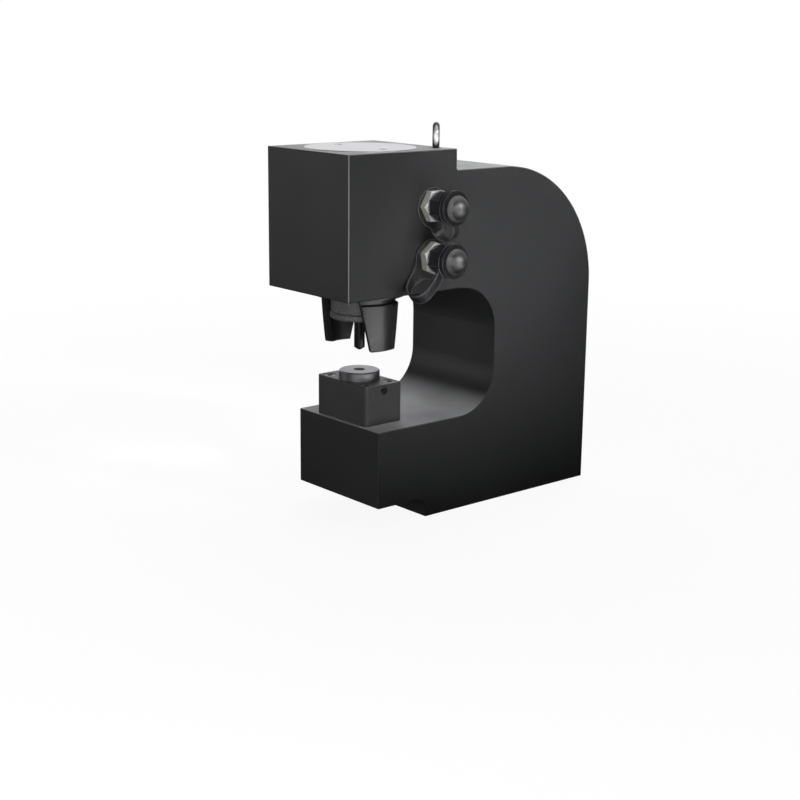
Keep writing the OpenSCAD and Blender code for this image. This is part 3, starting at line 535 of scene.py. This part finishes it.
def cap_plastic():
    """Satin plastic of a dust cap, with painted light and shade: highlights painted on the crests of its grip
    and on its edges, and painted shade on its flange and its dome.
    """
    material, tree, shader = new_material("cap_satin_plastic", 0.4, specular=0.6)
    shade = tuple(colours().cap)
    skin = use(tree, "fine_grain", Scale=2600.0, Detail=2.0, Contrast=1.2)["Value"]
    cloud = use(tree, "fine_grain", Scale=150.0, Detail=4.0, Contrast=1.6)["Value"]
    edge_wear_and_glint = use(tree, "worn_edges", Radius=0.0005, Amount=0.7, Breakup=180.0)
    out = maths(tree, "SUBTRACT", axis_value(tree, here(tree), "X"), SIDE_FACE)
    raised = spread(tree, out, (CAP_GRIP + 0.2) * MM, (CAP_GRIP + 0.8) * MM)
    pitch = (CAP_DOME - CAP_GRIP - 1.2) / (caps().grooves + 0.6) * MM
    turns = maths(tree, "MULTIPLY", maths(tree, "SUBTRACT", out, CAP_GRIP * MM), math.tau / pitch)
    # Painted highlights: lit bands on the crests of the grip
    crests = spread(tree, maths(tree, "SINE", turns), -0.2, 0.6)
    rib_highlights = maths(tree, "MULTIPLY", crests, spread(tree, out, (CAP_DOME + 0.2) * MM, CAP_DOME * MM))
    base = tint(tree, cloud, shaded(shade, 0.85), shaded(shade, 1.2))
    # Painted shade: the dome is painted darker than the grip
    base = tint(tree, spread(tree, out, CAP_DOME * MM, (CAP_DOME + 0.3) * MM), base, shaded(shade, 0.3))
    base = tint(tree, rib_highlights, base, shaded(shade, 1.8))
    # Painted shade: the flange is painted far darker than the rest
    base = tint(tree, raised, shaded(shade, 0.25), base)
    # Painted highlights along the cap's edges
    colour(tree, shader, tint(tree, edge_wear_and_glint["Mask"], base, shaded(shade, 6.0)))
    satin = spread(tree, cloud, 0.0, 1.0, 0.39, 0.45)
    facing = axis_value(tree, put(tree, "ShaderNodeNewGeometry").outputs["Normal"], "X")
    flat = maths(tree, "MULTIPLY", spread(tree, facing, 0.7, 0.95), spread(tree, raised, 1.0, 0.0))
    drive(tree, shader, "Specular IOR Level", spread(tree, flat, 0.0, 1.0, 0.9, 0.1))
    drive(tree, shader, "Roughness", spread(tree, raised, 0.0, 1.0, 0.45, satin))
    bump(tree, shader, skin, 0.00003, 0.5, edge_wear_and_glint["Normal"])
    return material


def polished_steel():
    """Bright forged steel with faint waviness, with its reflection painted in: a light centre, and sides
    painted dark where they turn away.
    """
    material, tree, shader = new_material("eye_polished_steel", 0.2, 0.5, specular=0.2)
    wave = use(tree, "fine_grain", Scale=90.0, Detail=3.0, Contrast=1.0)["Value"]
    smear = use(tree, "fine_grain", Scale=600.0, Detail=3.0, Contrast=1.5)["Value"]
    bright = tint(tree, smear, tuple(colours().eye_steel), (0.85, 0.85, 0.86, 1))
    # Painted reflection: light where the eye faces the camera, dark towards its sides
    facing = put(tree, "ShaderNodeLayerWeight", {"Blend": 0.5}).outputs["Facing"]
    rim = spread(tree, facing, 0.1, 0.5, smooth=True)
    colour(tree, shader, tint(tree, rim, bright, tuple(colours().eye_rim)))
    drive(tree, shader, "Roughness", spread(tree, smear, 0.0, 1.0, 0.26, 0.36))
    bump(tree, shader, wave, 0.0001, 0.3)
    return material


def floor_material():
    """Pale floor, near white. What the machine mirrors of it is dark, with two bright patches."""
    material, tree, shader = new_material("stage_floor", 0.7, specular=0.2)
    place = here(tree)
    speck = put(tree, "ShaderNodeTexNoise", {"Vector": place, "Scale": 60.0, "Detail": 4.0}).outputs[0]
    pale = tuple(colours().floor)
    colour(tree, shader, tint(tree, speck, shaded(pale, 0.985), pale))
    shader.inputs["Emission Color"].default_value = (1, 1, 1, 1)
    shader.inputs["Emission Strength"].default_value = FLOOR_GLOW
    away = vector_length(tree, place)
    fade = spread(tree, away, 0.25, 1.5, 0.86, 1.0, smooth=True)
    white = put(tree, "ShaderNodeEmission", {"Color": (1, 1, 1, 1), "Strength": 1.0})
    shown = put(tree, "ShaderNodeMixShader", {0: fade, 1: shader.outputs[0], 2: white.outputs[0]})
    out = put(tree, "ShaderNodeVectorMath", {0: place}, operation="NORMALIZE").outputs[0]
    glow = FLOOR_MIRRORED
    for azimuth, half, near, far, level in FLOOR_PATCHES:
        turn = math.radians(azimuth)
        along = dot(tree, out, (math.sin(turn), -math.cos(turn), 0.0))
        edge = math.cos(math.radians(half))
        sector = spread(tree, along, edge - 0.01, edge + 0.01)
        beyond, within = spread(tree, away, near, near + 0.15), spread(tree, away, far + 0.3, far)
        patch = maths(tree, "MULTIPLY", sector, maths(tree, "MULTIPLY", beyond, within))
        glow = maths(tree, "MULTIPLY_ADD", patch, level, glow)
    mirrored = put(tree, "ShaderNodeEmission", {"Color": (1, 1, 1, 1), "Strength": glow})
    seen = put(tree, "ShaderNodeLightPath").outputs["Is Camera Ray"]
    mixed = put(tree, "ShaderNodeMixShader", {0: seen, 1: mirrored.outputs[0], 2: shown.outputs[0]})
    output = next(n for n in tree.nodes if n.type == "OUTPUT_MATERIAL")
    tree.links.new(mixed.outputs[0], output.inputs["Surface"])
    return material


# Mesh helpers


def port_place(side):
    """Local Z points out of the side face at that coupling, in millimetres."""
    low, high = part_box(side + "_dust_cap")
    centre = (low + high) / 2
    return Matrix(((0, 0, MM, SIDE_FACE), (0, MM, 0, centre.y), (-MM, 0, 0, centre.z), (0, 0, 0, 1)))


def axis_place():
    """Upright millimetres on the punch's axis."""
    return Matrix.Translation((PUNCH_AXIS.x, PUNCH_AXIS.y, 0)) @ Matrix.Diagonal((MM, MM, MM, 1))


def way_out(azimuth, elevation):
    """The way at an azimuth, from the front to the right, and an elevation, both in degrees."""
    turn, rise = math.radians(azimuth), math.radians(elevation)
    return Vector((math.sin(turn) * math.cos(rise), -math.cos(turn) * math.cos(rise), math.sin(rise)))


def rounded(profile, radius, steps=4):
    """Softens the corners of a line of (radius, height) points, the first and last kept."""
    line = [Vector(p) for p in profile]
    out = [line[0]]
    for before, corner, after in zip(line, line[1:], line[2:]):
        back, ahead = before - corner, after - corner
        reach = min(radius, back.length * 0.45, ahead.length * 0.45)
        start, end = corner + back.normalized() * reach, corner + ahead.normalized() * reach
        for i in range(steps + 1):
            t = i / steps
            out.append(start * (1 - t) ** 2 + corner * 2 * t * (1 - t) + end * t * t)
    out.append(line[-1])
    return [tuple(p) for p in out]


def revolve(profile, steps, closed=False):
    """Points and faces of a line of (radius, height) points turned round local Z."""
    points, rows, faces = [], [], []
    ways = [(math.cos(math.tau * i / steps), math.sin(math.tau * i / steps)) for i in range(steps)]
    for radius, height in profile:
        if radius < 1e-6:
            rows.append([len(points)])
            points.append((0.0, 0.0, height))
        else:
            rows.append(list(range(len(points), len(points) + steps)))
            points += [(radius * x, radius * y, height) for x, y in ways]
    for low, high in zip(rows, rows[1:] + ([rows[0]] if closed else [])):
        for i in range(steps):
            j = (i + 1) % steps
            loop = [low[i % len(low)], low[j % len(low)], high[j % len(high)], high[i % len(high)]]
            face = [v for k, v in enumerate(loop) if v not in loop[:k]]
            if len(face) > 2:
                faces.append(face)
    return points, faces


def skinned(rings):
    """Points and faces of a skin over closed rings of points, flat at both ends."""
    points, faces = [], []
    count = len(rings[0])
    for ring in rings:
        points += [tuple(point) for point in ring]
    for i in range(len(rings) - 1):
        for j in range(count):
            k = (j + 1) % count
            faces.append([i * count + j, i * count + k, (i + 1) * count + k, (i + 1) * count + j])
    faces.append(list(range(count)))
    faces.append([len(points) - 1 - j for j in range(count)])
    return points, faces


def new_piece(name, points, faces, place, material, sharp=35.0):
    """A mesh object with outward normals and smooth faces, sharp where the surface turns."""
    mesh = bpy.data.meshes.new(name)
    mesh.from_pydata([place @ Vector(p) for p in points], [], faces)
    tidy = bmesh.new()
    tidy.from_mesh(mesh)
    bmesh.ops.remove_doubles(tidy, verts=tidy.verts, dist=1e-7)
    bmesh.ops.recalc_face_normals(tidy, faces=tidy.faces)
    tidy.to_mesh(mesh)
    tidy.free()
    mesh.shade_smooth()
    mesh.set_sharp_from_angle(angle=math.radians(sharp))
    mesh.materials.append(material)
    piece = bpy.data.objects.new(name, mesh)
    bpy.context.scene.collection.objects.link(piece)
    return piece


def united(piece, others):
    """Joins closed pieces into one skin."""
    for other in others:
        join = piece.modifiers.new("join", "BOOLEAN")
        join.operation = "UNION"
        join.solver = "EXACT"
        join.object = other
    bpy.context.view_layer.update()
    graph = bpy.context.evaluated_depsgraph_get()
    mesh = bpy.data.meshes.new_from_object(piece.evaluated_get(graph))
    piece.modifiers.clear()
    old = piece.data
    piece.data = mesh
    mesh.name = piece.name
    spent = [old] + [other.data for other in others]
    for other in others:
        bpy.data.objects.remove(other)
    for gone in spent:
        bpy.data.meshes.remove(gone)
    mesh.shade_smooth()
    mesh.set_sharp_from_angle(angle=math.radians(35))


def finish_nodes(material, *names):
    """Gives CAD nodes a material."""
    for name in names:
        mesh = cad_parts[name].data
        mesh.materials.clear()
        mesh.materials.append(material)


# Operators


class PUNCH_OT_surface_effects(bpy.types.Operator):
    """Builds the shared shader groups"""

    bl_idname = "punch.surface_effects"
    bl_label = "Surface effects"

    def execute(self, context):
        make_fine_grain()
        make_wear_and_glint_edges()
        make_upward_sheen_mask()
        make_turning_lines()
        return {"FINISHED"}


class PUNCH_OT_frame(bpy.types.Operator):
    """Paints the C frame"""

    bl_idname = "punch.frame"
    bl_label = "Frame"

    def execute(self, context):
        finish_nodes(frame_paint(), "frame")
        return {"FINISHED"}


class PUNCH_OT_cylinder(bpy.types.Operator):
    """Finishes the cover, the bush, the piston rod and their seals"""

    bl_idname = "punch.cylinder"
    bl_label = "Cylinder"

    def execute(self, context):
        shades, up = colours(), (0, 0, 1)
        cover = machined("cover_turned_steel", tuple(shades.turned), 0.42, PUNCH_AXIS, up, 1400.0, haze=0.6)
        finish_nodes(cover, "cylinder_cover")
        rod = machined("rod_ground_steel", tuple(shades.ground), 0.22, PUNCH_AXIS, up, 2600.0)
        finish_nodes(rod, "piston_rod", "upper_poppet", "lower_poppet")
        gland = machined("gland_bronze", tuple(shades.bronze), 0.34, PUNCH_AXIS, up, 1700.0)
        finish_nodes(gland, "rod_gland")
        rubber = moulded("seal_rubber", tuple(shades.rubber), 0.6)
        finish_nodes(rubber, "cover_o_ring", "gland_o_ring", "rod_wiper")
        finish_nodes(moulded("seal_compound", tuple(shades.seal), 0.45), "rod_seal", "piston_seal")
        finish_nodes(moulded("guide_compound", tuple(shades.guide), 0.55), "piston_guide_ring")
        return {"FINISHED"}


class PUNCH_OT_tooling(bpy.types.Operator):
    """Finishes the punch, the die and what holds them"""

    bl_idname = "punch.tooling"
    bl_label = "Tooling"

    def execute(self, context):
        finish_nodes(blackened("stripper_satin_oxide", 0.3, 0.6, inside=STRIPPER_MOUTH_R * MM), "stripper")
        finish_nodes(blackened("holder_oxide", 0.48, 1.0), "die_holder")
        screws = blackened("screw_oxide", 0.36, 0.8, wear=0.25)
        finish_nodes(screws, "stripper_screws", "die_holder_screws", "die_set_screw")
        finish_nodes(blackened("punch_oxide", 0.26, 0.3, shine=0.22), "punch")
        hardened = tuple(colours().hardened)
        finish_nodes(machined("die_hardened_steel", hardened, 0.42, PUNCH_AXIS, (0, 0, 1), 1900.0), "die")
        return {"FINISHED"}


class PUNCH_OT_nut(bpy.types.Operator):
    """Builds the punch nut with its rough cast skin"""

    bl_idname = "punch.nut"
    bl_label = "Punch nut"

    def execute(self, context):
        low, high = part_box("punch_nut")
        foot, top, out = low.z / MM, high.z / MM, (high.x - low.x) / 2 / MM
        waist, band = out - 0.7, foot + 6.4
        neck = waist - 0.75
        skin = rounded([
            (NUT_HOLE_R, foot), (out - 1.4, foot), (out, foot + 1.4), (out, band), (neck, band + 0.5),
            (neck, band + 1), (waist, band + 1.5), (waist, top - 1.2), (waist - 1.2, top),
            (NUT_THREAD_R, top)], 0.8)
        dense = [skin[0]]
        for a, b in zip(skin, skin[1:]):
            parts = max(1, round(math.dist(a, b) / NUT_STEP)) if b[0] > NUT_FINE_R else 1
            dense += [(a[0] + (b[0] - a[0]) * i / parts, a[1] + (b[1] - a[1]) * i / parts)
                      for i in range(1, parts + 1)]
        shoulder, seat = top - NUT_THREAD_DEPTH, foot + NUT_FLOOR
        inside = [(NUT_THREAD_R, shoulder), (NUT_SEAT_R, shoulder), (NUT_SEAT_R, seat), (NUT_HOLE_R, seat)]
        points, faces = revolve(dense + inside, 220, closed=True)
        grit, size = casting().grit, casting().grit_size
        rough = []
        for x, y, z in points:
            reach = math.hypot(x, y)
            if reach > NUT_ROUGH_R and z < top - 0.1:
                seed = Vector((x, y, z)) / size
                lift = grit * (noise.noise(seed) - 0.55) + 0.5 * grit * noise.noise(seed * 2.7)
                scale = (reach + min(lift, 0.0)) / reach
                x, y = x * scale, y * scale
            rough.append((x, y, z))
        piece = new_piece(
            "punch_nut_casting", rough, faces, axis_place(), cast_scale(), sharp=50)
        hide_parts("punch_nut")
        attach(piece, "ram")
        return {"FINISHED"}


class PUNCH_OT_couplings(bpy.types.Operator):
    """Finishes the plated adapters and the dark coupling bodies"""

    bl_idname = "punch.couplings"
    bl_label = "Couplings"

    def execute(self, context):
        finish_nodes(zinc_plate(), "upper_adapter", "lower_adapter")
        # Painted highlights along the coupling bodies' edges
        black = moulded("coupling_black", tuple(colours().coupling), 0.4, radius=0.0008, glint=0.8, lift=16.0,
                        edge=0.9)
        finish_nodes(black, "upper_nipple", "lower_nipple")
        return {"FINISHED"}


class PUNCH_OT_valve_springs(bpy.types.Operator):
    """Winds the springs of the couplings' valves"""

    bl_idname = "punch.valve_springs"
    bl_label = "Valve springs"

    def execute(self, context):
        wire_r, coil_r, turns, dead, gap = 0.5, 4.3, 7, 0.1, 0.1
        low, high = SPRING_ENDS[0] + wire_r + gap, SPRING_ENDS[1] - wire_r - gap
        corners = [math.tau * i / 10 for i in range(10)]
        up = Vector((0, 0, 1))
        rings = []
        for i in range(30 * turns + 1):
            share = i / (30 * turns)
            angle = math.tau * turns * share
            climb = min(1.0, max(0.0, (share - dead) / (1 - 2 * dead)))
            out = Vector((math.cos(angle), math.sin(angle), 0))
            centre = out * coil_r + up * (low + (high - low) * climb)
            rings.append([centre + (out * math.cos(corner) + up * math.sin(corner)) * wire_r
                          for corner in corners])
        points, faces = skinned(rings)
        steel = machined("spring_wire_steel", tuple(colours().wire), 0.3, (0, 0, 0), (1, 0, 0), 2500.0)
        for side in SIDES:
            place = port_place(side)
            piece = new_piece(side + "_valve_coil", points, faces, place, steel, sharp=60)
            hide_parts(side + "_poppet_spring")
            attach(piece, "press_frame")
            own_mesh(piece)
        return {"FINISHED"}


class PUNCH_OT_dust_caps(bpy.types.Operator):
    """Moulds the domed dust caps with their ribbed grips"""

    bl_idname = "punch.dust_caps"
    bl_label = "Dust caps"

    def execute(self, context):
        size = caps()
        grip, flange = size.grip_r, size.flange_r
        neck, lip = grip - 1.2, CAP_BACK + 0.9
        line = [(CAP_BORE_R, CAP_BACK), (CAP_LIP_R, CAP_BACK), (CAP_LIP_R, lip), (CAP_SLEEVE_R, lip),
                (CAP_SLEEVE_R, CAP_FLANGE), (flange, CAP_FLANGE), (flange, CAP_GRIP), (neck, CAP_GRIP + 0.2),
                (neck, CAP_GRIP + 1.0), (grip, CAP_GRIP + 1.2)]
        first, last = CAP_GRIP + 1.2, CAP_DOME
        pitch = (last - first) / (size.grooves + 0.6)
        for i in range(size.grooves):
            at = first + (i + 0.75) * pitch
            wide = grip + (size.dome_r + 0.3 - grip) * (at - first) / (last - first)
            deep = wide - size.groove_depth
            line += [(wide, at - 0.3), (deep, at - 0.18), (deep, at + 0.18), (wide, at + 0.3)]
        line += [(size.dome_r + 0.3, last - 0.1), (size.dome_r, last)]
        outer = rounded(line, 0.3)
        rise = CAP_END - CAP_DOME
        ball = (size.dome_r ** 2 + rise ** 2) / (2 * rise)
        reach = math.asin(min(1.0, size.dome_r / ball))
        angles = [reach * (1 - i / 14) for i in range(1, 14)]
        arc = [(ball * math.sin(angle), CAP_END - ball + ball * math.cos(angle)) for angle in angles]
        bore = [(0.0, CAP_END), (0.0, CAP_BORE_END), (CAP_BORE_R, CAP_BORE_END)]
        points, faces = revolve(outer + arc + bore, 128, closed=True)
        plastic = cap_plastic()
        for side in SIDES:
            piece = new_piece(
                side + "_cap_moulding", points, faces, port_place(side), plastic, sharp=32)
            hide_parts(side + "_dust_cap")
            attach(piece, side + "_cap")
        return {"FINISHED"}


class PUNCH_OT_tethers(bpy.types.Operator):
    """Forms the flexible straps between the couplings' roots and the caps"""

    bl_idname = "punch.tethers"
    bl_label = "Tethers"

    def bend(self, centre, radius, start, end):
        """Points of an arc, between two angles in radians."""
        steps = 16
        angles = [start + (end - start) * i / steps for i in range(1, steps + 1)]
        return [(centre[0] + radius * math.cos(angle), centre[1] + radius * math.sin(angle))
                for angle in angles]

    def middle_line(self, drop, bends):
        """The strap's middle as (distance from the axis, distance out) points: straight, then three bends."""
        root = sum(STRAP_ROOT) / 2
        inner = sum(INNER_RING) / 2
        first = (drop - bends[0], inner + bends[0])
        second = (drop - bends[1], first[1])
        third = (second[0], second[1] + bends[1] - bends[2])
        quarter = math.pi / 2
        line = [(root + (first[0] - root) * i / 8, inner) for i in range(9)]
        line += self.bend(first, bends[0], -quarter, 0)
        line += self.bend(second, bends[1], 0, quarter)
        line += self.bend(third, bends[2], quarter, quarter + math.asin((third[0] - root) / bends[2]))
        return line

    def half_width(self, reach, flared):
        """Half the strap's width, wider towards the inner ring on its inner leg."""
        half = tethers().width / 2
        if not flared:
            return half
        flare = [(STRAP_ROOT[0], 10.8), (19.0, 9.7), (27.0, 7.6), (34.0, half)]
        for (low, wide), (high, narrow) in zip(flare, flare[1:]):
            if reach < high:
                return wide + (narrow - wide) * max(0.0, (reach - low) / (high - low))
        return half

    def skin(self, line):
        """Points and faces of the strap: a rounded flat section carried along its middle line."""
        half, edge = tethers().thickness / 2, 0.3
        bottom = max(range(len(line)), key=lambda i: line[i].x)
        across = Vector((0, 1, 0))
        rings = []
        for i, middle in enumerate(line):
            ahead = line[min(i + 1, len(line) - 1)] - line[max(i - 1, 0)]
            over = across.cross(ahead).normalized()
            wide = self.half_width(middle.x, i < bottom)
            corners = [(wide - edge, -half), (wide - edge * 0.3, -half + edge * 0.3), (wide, -half + edge)]
            outline = corners + [(w, -h) for w, h in reversed(corners)]
            outline += [(-w, -h) for w, h in outline]
            rings.append([middle + across * w + over * h for w, h in outline])
        return skinned(rings)

    def ring(self, name, radii, heights, place, plastic):
        """One of a strap's rings: radii and heights each hold the least and the greatest."""
        inner, outer = radii
        low, high = heights
        middle = (low + high) / 2
        section = rounded([(inner, middle), (inner, low), (outer, low), (outer, high), (inner, high),
                           (inner, middle + 0.01)], 0.35)
        points, faces = revolve(section[:-1], 96, closed=True)
        return new_piece(name, points, faces, place, plastic)

    def execute(self, context):
        size = tethers()
        # Painted highlights along the strap's edges, lifted strongly
        plastic = moulded("strap_satin_plastic", tuple(colours().strap), 0.5, specular=0.3, radius=0.0006,
                          glint=0.9, lift=56.0, edge=1.0)
        for side in SIDES:
            drop, tilt, bends = (getattr(size, side + part) for part in ("_drop", "_tilt", "_bends"))
            place = port_place(side) @ Matrix.Rotation(tilt, 4, "Z")
            line = [Vector((d, 0, u)) for d, u in self.middle_line(drop, bends)]
            points, faces = self.skin(line)
            strap = new_piece(side + "_tether_strap", points, faces, place, plastic)
            hung = place @ Matrix.Translation((size.ring_hang, 0, 0))
            united(strap, [self.ring(side + "_ring", INNER_RADII, INNER_RING, hung, plastic),
                           self.ring(side + "_ring", OUTER_RADII, OUTER_RING, place, plastic)])
            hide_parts(side + "_tether")
            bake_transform(strap)
        return {"FINISHED"}


class PUNCH_OT_lifting_eye(bpy.types.Operator):
    """Finishes the lifting eye"""

    bl_idname = "punch.lifting_eye"
    bl_label = "Lifting eye"

    def execute(self, context):
        finish_nodes(polished_steel(), "lifting_eye")
        return {"FINISHED"}


class PUNCH_OT_stage(bpy.types.Operator):
    """Sets the floor, the surroundings, the lights and the camera"""

    bl_idname = "punch.stage"
    bl_label = "Stage"

    def softbox(self, box):
        """An area light that faces its aim."""
        light = bpy.data.lights.new(box.name, "AREA")
        light.shape = "RECTANGLE"
        light.size, light.size_y = box.width, box.height
        light.energy = box.power
        light.spread = math.radians(box.grid)
        lamp = bpy.data.objects.new(box.name, light)
        way = way_out(box.azimuth, box.elevation)
        lamp.location = Vector(box.aim) + way * box.distance
        lamp.rotation_mode = "QUATERNION"
        lamp.rotation_quaternion = way.to_track_quat("Z", "Y")
        lamp.visible_camera = False
        bpy.context.scene.collection.objects.link(lamp)

    def surroundings(self):
        """White to the eye. What the machine mirrors is a dark room with a bright wall low behind it."""
        world = bpy.data.worlds.new("studio")
        bpy.context.scene.world = world
        world.use_nodes = True
        tree = world.node_tree
        tree.nodes.clear()
        way = put(tree, "ShaderNodeTexCoord").outputs["Generated"]
        level = spread(tree, dot(tree, way, WALL_WAY), 0.55, 0.92, ROOM_LEVEL, WALL_LEVEL, smooth=True)
        seen = put(tree, "ShaderNodeLightPath").outputs["Is Camera Ray"]
        strength = put(tree, "ShaderNodeMix", {0: seen, 2: level, 3: 1.0}).outputs[0]
        sky = put(tree, "ShaderNodeBackground", {"Color": (1, 1, 1, 1), "Strength": strength})
        put(tree, "ShaderNodeOutputWorld", {"Surface": sky.outputs[0]})

    def camera(self):
        """The camera, as it was solved from the photo."""
        lens = bpy.data.cameras.new("camera")
        lens.lens = CAMERA_LENS
        lens.sensor_width = CAMERA_SENSOR
        lens.clip_start, lens.clip_end = 0.05, 60.0
        azimuth, roll = math.radians(CAMERA_AZIMUTH), math.radians(CAMERA_ROLL)
        back = way_out(CAMERA_AZIMUTH, CAMERA_ELEVATION)
        level = Vector((math.cos(azimuth), math.sin(azimuth), 0))
        upright = back.cross(level)
        right = level * math.cos(roll) + upright * math.sin(roll)
        up = upright * math.cos(roll) - level * math.sin(roll)
        turned = Matrix((right, up, back)).transposed().to_4x4()
        camera = bpy.data.objects.new("camera", lens)
        camera.matrix_world = Matrix.Translation(CAMERA_SPOT) @ turned
        bpy.context.scene.collection.objects.link(camera)
        bpy.context.scene.camera = camera

    def execute(self, context):
        bpy.context.scene.view_settings.view_transform = "Standard"
        points, faces = revolve([(radius, 0.0) for radius in FLOOR_RINGS], 64)
        floor = new_piece("stage_floor", points, faces, Matrix.Identity(4), floor_material())
        self.surroundings()
        for box in SOFTBOXES:
            self.softbox(box)
        self.camera()
        return {"FINISHED"}


class PUNCH_PT_sidebar(bpy.types.Panel):
    """Lists the hole punch's pieces, sizes and colours"""

    bl_idname = "PUNCH_PT_sidebar"
    bl_label = "Hole punch"
    bl_space_type = "VIEW_3D"
    bl_region_type = "UI"
    bl_category = "Hole punch"

    def draw(self, context):
        for step in OPERATORS:
            self.layout.operator(step.bl_idname)
        for group in (caps(), tethers(), casting(), colours()):
            box = self.layout.box()
            for key in group.bl_rna.properties.keys():
                if key not in {"rna_type", "name"}:
                    box.prop(group, key)


GROUPS = {"punch_caps": CapSizes, "punch_tethers": TetherSizes, "punch_casting": CastingSizes,
          "punch_colours": FinishColours}
OPERATORS = (PUNCH_OT_surface_effects, PUNCH_OT_frame, PUNCH_OT_cylinder, PUNCH_OT_tooling, PUNCH_OT_nut,
             PUNCH_OT_couplings, PUNCH_OT_valve_springs, PUNCH_OT_dust_caps, PUNCH_OT_tethers,
             PUNCH_OT_lifting_eye, PUNCH_OT_stage)


def register():
    for name, group in GROUPS.items():
        bpy.utils.register_class(group)
        setattr(bpy.types.Scene, name, bpy.props.PointerProperty(type=group))
    for step in OPERATORS:
        bpy.utils.register_class(step)
    bpy.utils.register_class(PUNCH_PT_sidebar)


def unregister():
    bpy.utils.unregister_class(PUNCH_PT_sidebar)
    for step in reversed(OPERATORS):
        bpy.utils.unregister_class(step)
    for name, group in GROUPS.items():
        delattr(bpy.types.Scene, name)
        bpy.utils.unregister_class(group)


def main():
    register()
    bpy.ops.punch.stage()
    bpy.ops.punch.surface_effects()
    bpy.ops.punch.frame()
    bpy.ops.punch.cylinder()
    bpy.ops.punch.tooling()
    bpy.ops.punch.nut()
    bpy.ops.punch.couplings()
    bpy.ops.punch.valve_springs()
    bpy.ops.punch.dust_caps()
    bpy.ops.punch.tethers()
    bpy.ops.punch.lifting_eye()


if __name__ == "__main__":
    main()
